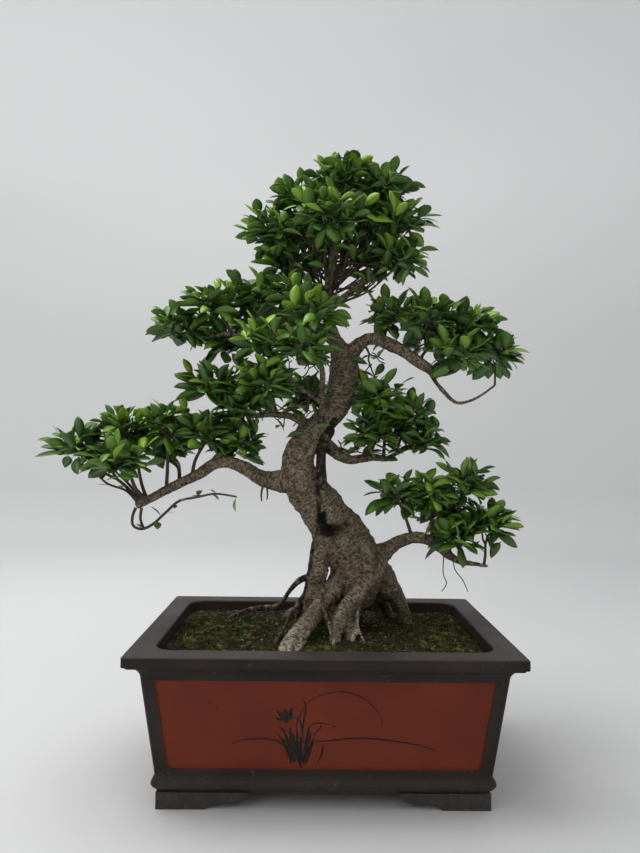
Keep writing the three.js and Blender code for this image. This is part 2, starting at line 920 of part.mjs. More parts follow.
bonsai.add(piece("pot", makePot(), clay));
bonsai.add(piece("drain_net_left", makeNet(-1), netFinish));
bonsai.add(piece("drain_net_right", makeNet(1), netFinish));
bonsai.add(piece("drainage_grit", makeGrit(), gritFinish));
bonsai.add(piece("soil", makeSoil(clearOfWood), soilFinish));
bonsai.add(piece("moss_left", makeMoss([-140, -10], [62, 88], 4, clearOfWood), mossFinish));
bonsai.add(piece("moss_front", makeMoss([0, -98], [74, 24], 4, clearOfWood), mossFinish));
bonsai.add(piece("moss_right", makeMoss([164, 10], [46, 96], 5, clearOfWood), mossFinish));
bonsai.add(piece("wood", wood, barkFinish));

// Each tuft gives way to the wood and to the tufts made before it
const madeBefore = [];
for (const shoot of shoots) {
  let tuft = makeTuft(shoot).subtract(clearOfWood);
  const { min, max } = tuft.boundingBox();
  for (const { low, high, body } of madeBefore) {
    const apart = min.some((value, i) => value > high[i] || max[i] < low[i]);
    if (!apart) tuft = tuft.subtract(body);
  }
  bonsai.add(piece(`leaves_${shoot[0]}`, tuft, leafFinish));
  const body = makeTuft(shoot, leafGap);
  const { min: low, max: high } = body.boundingBox();
  madeBefore.push({ low, high, body });
}

// Zero is where the middle of the object's outer box meets the ground
const outerBox = new THREE.Box3().setFromObject(bonsai);
const middle = outerBox.getCenter(new THREE.Vector3());
bonsai.position.set(-middle.x, -middle.y, -outerBox.min.z);

export default bonsai;
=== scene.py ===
import math
import random

import bmesh
import bpy
import numpy as np
from mathutils import Matrix, Vector, noise


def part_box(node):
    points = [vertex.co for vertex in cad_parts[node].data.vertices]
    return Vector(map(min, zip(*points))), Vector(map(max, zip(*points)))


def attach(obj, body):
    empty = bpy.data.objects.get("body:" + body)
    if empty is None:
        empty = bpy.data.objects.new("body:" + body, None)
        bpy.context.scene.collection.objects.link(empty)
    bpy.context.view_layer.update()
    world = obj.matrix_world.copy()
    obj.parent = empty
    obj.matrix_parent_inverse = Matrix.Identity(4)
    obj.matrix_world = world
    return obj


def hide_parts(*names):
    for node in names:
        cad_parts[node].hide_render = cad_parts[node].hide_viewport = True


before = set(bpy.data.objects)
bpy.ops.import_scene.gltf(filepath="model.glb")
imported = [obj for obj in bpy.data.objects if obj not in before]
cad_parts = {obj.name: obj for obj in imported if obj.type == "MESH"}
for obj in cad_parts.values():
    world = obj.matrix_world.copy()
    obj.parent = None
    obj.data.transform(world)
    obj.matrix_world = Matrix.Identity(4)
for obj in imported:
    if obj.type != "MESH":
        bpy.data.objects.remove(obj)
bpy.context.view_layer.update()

# The camera stands where the photograph was taken from: a little under a metre in front of the pot,
# level with the middle of the trunk and looking very slightly up. The corners of the rim fixed it.
pot_low, pot_high = (Vector(corner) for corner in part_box("pot"))
pot_middle = Vector(((pot_low.x + pot_high.x) / 2, (pot_low.y + pot_high.y) / 2, 0))
camera_place = pot_middle + Vector((-0.0234, -0.9511, 0.4523))
yaw, pitch, roll = math.radians(0.839), math.radians(-2.195), math.radians(0.779)
picture_height_px = 853
focal_length_px = 640
sensor_mm = 36


def add_object(name, data):
    made = bpy.data.objects.new(name, data)
    bpy.context.scene.collection.objects.link(made)
    return made


ahead = Vector(
    (math.sin(yaw) * math.cos(pitch), math.cos(yaw) * math.cos(pitch), -math.sin(pitch))
)
level = Vector((math.cos(yaw), -math.sin(yaw), 0))
above = level.cross(ahead)
right = level * math.cos(roll) + above * math.sin(roll)
up = above * math.cos(roll) - level * math.sin(roll)
camera_data = bpy.data.cameras.new("camera")
camera_data.sensor_width = sensor_mm
camera_data.lens = sensor_mm * focal_length_px / picture_height_px
camera = add_object("camera", camera_data)
axes = Matrix((right, up, -ahead)).transposed().to_4x4()
camera.matrix_world = Matrix.Translation(camera_place) @ axes
bpy.context.scene.camera = camera


# The room is one round sheet of pale paper: flat under the pot, then curved up into a wall on all
# sides. A wide soft lamp hangs above the tree on the left, with a weaker one in front of it.
def new_mesh(name, bm):
    mesh = bpy.data.meshes.new(name)
    bm.to_mesh(mesh)
    bm.free()
    return mesh


def new_object(name, bm):
    return add_object(name, new_mesh(name, bm))


def add_node(tree, kind, values=None, **settings):
    made = tree.nodes.new("ShaderNode" + kind)
    for key, value in settings.items():
        setattr(made, key, value)
    for key, value in (values or {}).items():
        if isinstance(value, bpy.types.NodeSocket):
            tree.links.new(value, made.inputs[key])
        else:
            made.inputs[key].default_value = value
    return made


def new_material(name, **shader_values):
    material = bpy.data.materials.new(name)
    material.use_nodes = True
    shader = material.node_tree.nodes["Principled BSDF"]
    for key, value in shader_values.items():
        shader.inputs[key.replace("_", " ")].default_value = value
    return material, material.node_tree, shader


def object_place(tree, scale=(1, 1, 1)):
    place = add_node(tree, "TexCoord").outputs["Object"]
    return add_node(tree, "Mapping", {"Vector": place, "Scale": scale}).outputs["Vector"]


def speckle(tree, place, scale, detail=4.0, roughness=0.55):
    values = {"Vector": place, "Scale": scale, "Detail": detail, "Roughness": roughness}
    return add_node(tree, "TexNoise", values).outputs["Fac"]


def ramp(tree, factor, *stops):
    # Each stop is a position and a colour there, and one number stands for a grey
    made = add_node(tree, "ValToRGB", {"Fac": factor})
    points = made.color_ramp.elements
    while len(points) < len(stops):
        points.new(0.5)
    for point, (position, colour) in zip(points, stops):
        point.position = position
        point.color = (*np.broadcast_to(colour, 3), 1)
    return made.outputs["Color"]


def calculate(tree, kind, *terms):
    return add_node(tree, "Math", dict(enumerate(terms)), operation=kind).outputs[0]


def cover(tree, colour, amount, tint):
    # Lays a tint over a colour, as much of it as the amount says
    values = {0: amount, 6: colour, 7: (*tint, 1)}
    return add_node(tree, "Mix", values, data_type="RGBA").outputs[2]


def stain(tree, colour, pattern, start, end, tint):
    # Lays a tint over a colour. Start and end are each a value of the pattern and an amount there.
    return cover(tree, colour, ramp(tree, pattern, start, end), tint)


def finish_surface(tree, shader, colour, relief, depth, strength, roughness=None):
    values = {"Height": relief, "Distance": depth, "Strength": strength}
    tree.links.new(colour, shader.inputs["Base Color"])
    tree.links.new(add_node(tree, "Bump", values).outputs["Normal"], shader.inputs["Normal"])
    if roughness is not None:
        tree.links.new(roughness, shader.inputs["Roughness"])


floor_reach, wall_curve, wall_height = 2.2, 1.2, 4.5
bend_steps, wall_facets = 12, 72

bm = bmesh.new()
outline = [Vector((0, 0, 0)), Vector((floor_reach, 0, 0))]
for step in range(1, bend_steps + 1):
    angle = math.radians(90) * step / bend_steps
    out = floor_reach + wall_curve * math.sin(angle)
    outline.append(Vector((out, 0, wall_curve * (1 - math.cos(angle)))))
outline.append(Vector((floor_reach + wall_curve, 0, wall_height)))
corners = [bm.verts.new(point) for point in outline]
edges = [bm.edges.new(pair) for pair in zip(corners, corners[1:])]
bmesh.ops.spin(
    bm, geom=corners + edges, cent=(0, 0, 0), axis=(0, 0, 1), angle=2 * math.pi,
    steps=wall_facets, use_merge=True, use_duplicate=False,
)
bmesh.ops.remove_doubles(bm, verts=bm.verts, dist=1e-5)
bmesh.ops.recalc_face_normals(bm, faces=bm.faces)
bmesh.ops.reverse_faces(bm, faces=bm.faces)
room = new_object("paper_room", bm)
room.data.shade_smooth()

paper, tree, shader = new_material("pale_paper", Roughness=0.9)
# Painted light: the paper is painted a little darker where the wall rises from the floor and lighter
# towards the top of the wall.
height = add_node(tree, "SeparateXYZ", {"Vector": object_place(tree, (1, 1, 0.4))}).outputs["Z"]
painted_wall_light = ramp(tree, height, (0.02, 0.60), (0.1, 0.555), (0.9, 0.74))
tree.links.new(painted_wall_light, shader.inputs["Base Color"])
room.data.materials.append(paper)


def add_lamp(name, place, target, size, power):
    # A round lamp that points at the target, with its width in metres and its power in watts
    data = bpy.data.lights.new(name, "AREA")
    data.shape = "DISK"
    data.size = size
    data.energy = power
    lamp = add_object(name, data)
    lamp.location = place
    lamp.rotation_euler = (Vector(target) - Vector(place)).to_track_quat("-Z", "Y").to_euler()


add_lamp("lamp_above", (-0.75, 0.0, 2.3), (0, 0, 0.3), 1.6, 38)
add_lamp("lamp_front", (-1.5, -1.7, 1.5), (0, 0, 0.4), 1.2, 6)
add_lamp("lamp_wall", (-0.3, 0.5, 2.3), (-1.6, 3.3, 2.3), 1.0, 24)

world = bpy.data.worlds.new("room_light")
world.use_nodes = True
world.node_tree.nodes["Background"].inputs["Color"].default_value = (0.97, 0.985, 1.0, 1)
world.node_tree.nodes["Background"].inputs["Strength"].default_value = 0.9
bpy.context.scene.world = world
bpy.context.scene.view_settings.view_transform = "Standard"


# The pot is one thing of fired clay: a rectangular body that leans out to a broad rim, with a cove
# under the rim and a bead above the base. The sides were pressed in a mould, and the red slip was
# brushed on the sunk panels before the firing.
MM = 0.001
pot_length, pot_depth, pot_height = 500 * MM, 330 * MM, 200 * MM
foot_height = 20 * MM
neck_inset, base_inset = 19.5 * MM, 36 * MM
bead_bottom, bead_top, bead_bulge = 26 * MM, 42 * MM, 4 * MM
cove_height, cove_reach = 17 * MM, 15.5 * MM
step_bottom, band_bottom, step_inset = 184 * MM, 187 * MM, 3 * MM
outer_corner, inner_corner = 4.5 * MM, 26 * MM
rim_width, rim_edge = 32 * MM, 1.5 * MM
wall_thickness, floor_top = 13 * MM, 36 * MM
profile_steps = 8

clay, tree, shader = new_material("dark_clay", Specular_IOR_Level=0.2)
place = object_place(tree)
cloud = speckle(tree, place, 14, detail=6)
grain = speckle(tree, place, 420, detail=3)
scuffs = speckle(tree, place, 95, detail=8, roughness=0.75)
colour = ramp(tree, cloud, (0.3, (0.015, 0.0105, 0.009)), (0.7, (0.036, 0.026, 0.021)))
facing = add_node(tree, "SeparateXYZ", {"Vector": add_node(tree, "NewGeometry").outputs["Normal"]})
height = add_node(tree, "SeparateXYZ", {"Vector": place}).outputs["Z"]
# Pale dust on the up-facing ledges and near the floor, which also stands in for light: it paints the
# tops lighter and lifts the shade at the base.
on_ledges = ramp(tree, facing.outputs["Z"], (0.5, 0), (0.95, 0.2))
near_floor = ramp(tree, height, (0.02, 0.3), (0.048, 0))
patchy = ramp(tree, scuffs, (0.4, 0.5), (0.6, 1))
dust_and_painted_light = calculate(tree, "MULTIPLY", calculate(tree, "MAXIMUM", on_ledges, near_floor), patchy)
colour = cover(tree, colour, dust_and_painted_light, (0.15, 0.132, 0.115))
colour = stain(tree, colour, scuffs, (0.60, 0), (0.74, 0.6), (0.20, 0.18, 0.165))
roughness = ramp(tree, cloud, (0.3, 0.42), (0.7, 0.62))
finish_surface(tree, shader, colour, grain, 0.25 * MM, 0.5, roughness)

slip, tree, shader = new_material("red_slip", Specular_IOR_Level=0.2)
place = object_place(tree)
cloud = speckle(tree, place, 9, detail=5)
pits = speckle(tree, place, 230, detail=2)
marks = speckle(tree, object_place(tree, (1, 1, 2.4)), 38, detail=9, roughness=0.8)
colour = ramp(tree, cloud, (0.3, (0.122, 0.0195, 0.0085)), (0.7, (0.190, 0.0325, 0.013)))
colour = stain(tree, colour, pits, (0.70, 0), (0.76, 0.8), (0.03, 0.012, 0.01))
colour = stain(tree, colour, marks, (0.62, 0), (0.74, 0.4), (0.25, 0.11, 0.08))
roughness = ramp(tree, cloud, (0.3, 0.5), (0.7, 0.7))
finish_surface(tree, shader, colour, pits, 0.3 * MM, 0.4, roughness)


def pot_stations():
    # Each station is (height, inset from the rim's edge, corner radius), from the base up and in
    stations = [
        (foot_height, base_inset + 6 * MM, outer_corner),
        (bead_bottom - MM, base_inset + 3 * MM, outer_corner),
    ]
    for step in range(profile_steps + 1):
        height = bead_bottom + step / profile_steps * (bead_top - bead_bottom)
        bulge = bead_bulge * math.sin(math.pi * step / profile_steps)
        stations.append((height, base_inset - bulge, outer_corner))
    for step in range(profile_steps + 1):
        angle = math.radians(90) * step / profile_steps
        height = step_bottom - cove_height * (1 - math.sin(angle))
        inset = neck_inset - cove_reach * (1 - math.cos(angle))
        stations.append((height, inset, outer_corner))
    stations += [
        (band_bottom, step_inset, outer_corner),
        (band_bottom, 0, outer_corner),
        (pot_height - rim_edge, 0, outer_corner),
        (pot_height, rim_edge, outer_corner),
        (pot_height, rim_width - rim_edge, inner_corner),
        (pot_height - rim_edge, rim_width, inner_corner),
        (pot_height - 13 * MM, rim_width + MM, inner_corner),
        (floor_top + 6 * MM, base_inset + wall_thickness, inner_corner),
        (floor_top, base_inset + wall_thickness + 4 * MM, inner_corner),
    ]
    return stations


def set_ring(cap, turn, height, inset, radius):
    # Puts the corners of the cap on a rounded rectangle
    for vert in cap.verts:
        east, north = math.cos(vert[turn]), math.sin(vert[turn])
        vert.co.x = math.copysign(pot_length / 2 - inset - radius, east) + radius * east
        vert.co.y = math.copysign(pot_depth / 2 - inset - radius, north) + radius * north
        vert.co.z = height


def faces_in(geometry):
    return [item for item in geometry if isinstance(item, bmesh.types.BMFace)]


def verts_in(geometry):
    return [item for item in geometry if isinstance(item, bmesh.types.BMVert)]


def settle(thing):
    # Replaces the object's mesh by what its modifiers make of it
    graph = bpy.context.evaluated_depsgraph_get()
    shaped = bpy.data.meshes.new_from_object(thing.evaluated_get(graph))
    thing.modifiers.clear()
    thing.data = shaped


def carve(body, tool, operation):
    # Joins the tool to the body or cuts it away, and then drops the tool
    step = body.modifiers.new("carve", "BOOLEAN")
    step.operation = operation
    step.solver = "EXACT"
    step.object = tool
    settle(body)
    bpy.data.objects.remove(tool)


bm = bmesh.new()
turn = bm.verts.layers.float.new("turn")
ring_points = 44
half_step = Matrix.Rotation(math.pi / ring_points, 4, "Z")
circle = bmesh.ops.create_circle(
    bm, cap_ends=True, segments=ring_points, radius=1, matrix=half_step
)
for vert in circle["verts"]:
    vert[turn] = math.atan2(vert.co.y, vert.co.x)
cap = next(iter(bm.faces))
stations = pot_stations()
set_ring(cap, turn, *stations[0])
underside = cap
for station in stations[1:]:
    grown = bmesh.ops.extrude_face_region(bm, geom=[cap])
    if cap != underside:
        bmesh.ops.delete(bm, geom=[cap], context="FACES_ONLY")
    cap = faces_in(grown["geom"])[0]
    set_ring(cap, turn, *station)
bmesh.ops.recalc_face_normals(bm, faces=bm.faces)
pot = new_object("pot_body", bm)
pot.data.materials.append(clay)
pot.data.materials.append(slip)


def foot_outline(flat, wing):
    # Flat where it stands, then a small step up and a long ogee to the base
    lip = 7 * MM
    end = flat + wing
    outline = [(0, 0), (flat, 0), (flat + 3 * MM, 2 * MM), (flat + 5 * MM, 5.5 * MM)]
    outline += [(flat + 9 * MM, lip), (end - 22 * MM, lip + MM)]
    outline += [(end - 14 * MM, lip + 2.2 * MM), (end - 8 * MM, lip + 4.5 * MM)]
    outline += [(end - 3 * MM, lip + 8 * MM), (end, foot_height + MM), (0, foot_height + MM)]
    return outline


def foot_side(name, flat, wing, thickness):
    bm = bmesh.new()
    face = bm.faces.new([bm.verts.new((x, 0, z)) for x, z in foot_outline(flat, wing)])
    grown = bmesh.ops.extrude_face_region(bm, geom=[face])
    bmesh.ops.translate(bm, verts=verts_in(grown["geom"]), vec=(0, thickness, 0))
    bmesh.ops.recalc_face_normals(bm, faces=bm.faces)
    return new_object(name, bm)


foot_thickness = 26 * MM
foot_inset = base_inset + 2 * MM
long_flat, long_wing = 62 * MM, 56 * MM
short_flat, short_wing = 50 * MM, 40 * MM
for side_x in (-1, 1):
    for side_y in (-1, 1):
        foot = foot_side("foot", long_flat, long_wing, foot_thickness)
        short_side = foot_side("foot_short_side", short_flat, short_wing, foot_thickness)
        short_side.data.transform(
            Matrix.Scale(-1, 4, (1, 0, 0)) @ Matrix.Rotation(math.radians(90), 4, "Z")
        )
        short_side.data.flip_normals()
        carve(foot, short_side, "UNION")
        place = Matrix.Translation(
            (-pot_length / 2 + foot_inset, -pot_depth / 2 + foot_inset, 0)
        )
        flip = Matrix.Diagonal((-side_x, -side_y, 1, 1))
        foot.data.transform(flip @ place)
        if side_x != side_y:
            foot.data.flip_normals()
        carve(pot, foot, "UNION")

drain_radius, drain_spacing = 15 * MM, 105 * MM
for side in (-1, 1):
    bm = bmesh.new()
    bmesh.ops.create_cone(
        bm, cap_ends=True, segments=40, radius1=drain_radius, radius2=drain_radius,
        depth=2 * floor_top, matrix=Matrix.Translation((side * drain_spacing, 0, floor_top)),
    )
    carve(pot, new_object("drain_hole", bm), "DIFFERENCE")

panel_bottom, panel_top = 52 * MM, 166 * MM
panel_margin, panel_depth, panel_corner = 18 * MM, 1.8 * MM, 6 * MM
wall_lean = math.atan2(base_inset - neck_inset, step_bottom - cove_height - bead_top)


def wall_inset(height):
    # How far the leaning wall lies inside the rim's edge at a height
    return base_inset - (height - bead_top) * math.tan(wall_lean)


def panel_tool(length, half_depth, turned):
    bm = bmesh.new()
    corners = []
    for height, reach, side in (
        (panel_bottom, base_inset - MM, -1),
        (panel_bottom, base_inset - MM, 1),
        (panel_top, neck_inset, 1),
        (panel_top, neck_inset, -1),
    ):
        x = side * (length / 2 - reach - panel_margin)
        corners.append(bm.verts.new((x, wall_inset(height) - half_depth, height)))
    bm.faces.new(corners)
    bmesh.ops.bevel(
        bm, geom=corners[:2], offset=panel_corner, affect="VERTICES", segments=5, profile=0.5,
        material=-1,
    )
    sink = Vector((0, math.cos(wall_lean), math.sin(wall_lean)))
    bmesh.ops.translate(bm, verts=bm.verts, vec=sink * panel_depth)
    grown = bmesh.ops.extrude_face_region(bm, geom=list(bm.faces))
    bmesh.ops.translate(bm, verts=verts_in(grown["geom"]), vec=-sink * 10 * MM)
    bmesh.ops.rotate(bm, verts=bm.verts, matrix=Matrix.Rotation(math.radians(turned), 3, "Z"))
    bmesh.ops.recalc_face_normals(bm, faces=bm.faces)
    for face in bm.faces:
        face.material_index = 1
    return new_object("panel_tool", bm)


for turned in (0, 180):
    carve(pot, panel_tool(pot_length, pot_depth / 2, turned), "DIFFERENCE")
for turned in (90, -90):
    carve(pot, panel_tool(pot_depth, pot_length / 2, turned), "DIFFERENCE")

soft_edges = pot.modifiers.new("soft edges", "BEVEL")
soft_edges.width = 0.9 * MM
soft_edges.segments = 3
soft_edges.limit_method = "ANGLE"
soft_edges.angle_limit = math.radians(32)
settle(pot)


# The orchid on the front panel was drawn with a knife through the red slip, down to the dark clay:
# a clump of short blades with three long ones, two flower stalks, and a ragged flower.
# Strokes are (x, height) in millimetres on the panel, and the width of the cut in its middle.
orchid_strokes = [
    (2.3, [(-116, 85), (-106, 89), (-83, 91), (-65, 90), (-55, 85), (-49, 78), (-47, 64)]),
    (2.6, [(-29, 86), (-16, 87), (5, 89), (33, 92), (60, 92), (95, 88), (122, 83), (141, 77)]),
    (1.7, [(-27, 131), (-22, 138), (-13, 145), (4, 151), (20, 153), (36, 150), (50, 143),
           (60, 134), (69, 122), (72, 114), (69, 104)]),
    (2.4, [(-30, 143), (-25, 137), (-25, 125), (-27, 112), (-28, 99), (-27, 86)]),
    (1.7, [(-27, 131), (-32, 121), (-36, 108), (-35, 99)]),
    (1.9, [(-43, 121), (-34, 117), (-30, 111), (-29, 99)]),
    (4.8, [(-42, 132), (-43, 116)]),
    (5.1, [(-50, 130), (-48, 115)]),
    (4.5, [(-61, 127), (-47, 117)]),
    (3.9, [(-62, 118), (-46, 113)]),
    (4.2, [(-55, 126), (-46, 116)]),
    (2.0, [(-18, 109), (-11, 112), (-4, 112), (5, 110)]),
    (2.0, [(-4, 110), (-8, 103), (-15, 94)]),
    (1.9, [(8, 109), (14, 107)]),
    (2.6, [(-9, 60), (-4, 70), (-2, 83), (-5, 84)]),
]
clump_blades = [
    (3.6, [(-57, 122), (-50, 114)]), (3.4, [(-52, 130), (-47, 118)]), (3.2, [(-45, 128), (-45, 114)]),
    (3.5, [(-57, 106), (-49, 100)]), (4.2, [(-58, 96), (-50, 84), (-45, 73), (-42, 59)]),
    (4.5, [(-52, 101), (-46, 88), (-41, 72), (-38, 60)]),
    (4.8, [(-44, 106), (-41, 84), (-37, 62)]), (5.1, [(-35, 101), (-34, 79), (-29, 53)]),
    (4.2, [(-20, 108), (-22, 92), (-26, 59)]), (4.5, [(-14, 92), (-19, 75), (-23, 59)]),
    (4.5, [(-30, 94), (-30, 76), (-27, 60)]), (3.9, [(-40, 98), (-37, 80), (-33, 62)]),
    (3.9, [(-47, 84), (-41, 72), (-41, 60)]), (3.5, [(-24, 88), (-20, 70), (-24, 62)]),
    (3.6, [(-52, 92), (-45, 78), (-40, 64)]), (3.4, [(-38, 90), (-35, 72), (-31, 57)]),
    (3.4, [(-17, 100), (-22, 82), (-27, 64)]), (3.2, [(-33, 86), (-29, 70), (-25, 56)]),
    (3.2, [(-48, 96), (-43, 82), (-39, 70)]), (3.0, [(-22, 98), (-25, 80), (-29, 66)]),
]


def smooth_line(points, spacing=4 * MM, scale=MM):
    # A smooth line through points of x, y, z and radius, as closer points of the same kind
    knots = [Vector(point) * scale for point in points]
    line = []
    for number, (start, end) in enumerate(zip(knots, knots[1:])):
        before, after = knots[max(number - 1, 0)], knots[min(number + 2, len(knots) - 1)]
        steps = max(1, round((end - start).xyz.length / spacing))
        for step in range(steps):
            t = step / steps
            line.append(0.5 * (
                2 * start + (end - before) * t + (2 * before - 5 * start + 4 * end - after) * t ** 2
                + (3 * start - before - 3 * end + after) * t ** 3
            ))
    line.append(knots[-1])
    return line


def sweep(name, lines, round_steps):
    # A round stem along each line, closed at both ends
    data = bpy.data.curves.new(name, "CURVE")
    data.dimensions = "3D"
    data.bevel_depth = 1
    data.bevel_resolution = round_steps
    data.use_fill_caps = True
    for line in lines:
        spline = data.splines.new("POLY")
        spline.points.add(len(line) - 1)
        for point, knot in zip(spline.points, line):
            point.co = (*knot.xyz, 1)
            point.radius = knot.w
    drawn = add_object(name, data)
    graph = bpy.context.evaluated_depsgraph_get()
    mesh = bpy.data.meshes.new_from_object(drawn.evaluated_get(graph))
    bpy.data.objects.remove(drawn)
    return add_object(name, mesh)


def orchid_cut(width, points):
    # A tapered stroke that lies in the floor of the front panel
    floor_depth = panel_depth * math.cos(wall_lean) - pot_depth / 2
    places = [(x, (wall_inset(height * MM) + floor_depth) / MM, height, 0) for x, height in points]
    line = smooth_line(places, spacing=3 * MM)
    for number, knot in enumerate(line):
        share = number / (len(line) - 1)
        knot.w = width / 2 * MM * (0.4 + 0.6 * math.sin(math.pi * share))
    return sweep("stroke", [line], round_steps=2)


for width, points in orchid_strokes + clump_blades:
    carve(pot, orchid_cut(width, points), "DIFFERENCE")

pot.data.transform(Matrix.Translation(pot_middle))
pot.data.shade_smooth()
pot.data.set_sharp_from_angle(angle=math.radians(38))
even_shading = pot.modifiers.new("even shading", "WEIGHTED_NORMAL")
even_shading.keep_sharp = True
settle(pot)
pot.name = "pot_body"

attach(pot, "root")
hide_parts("pot")


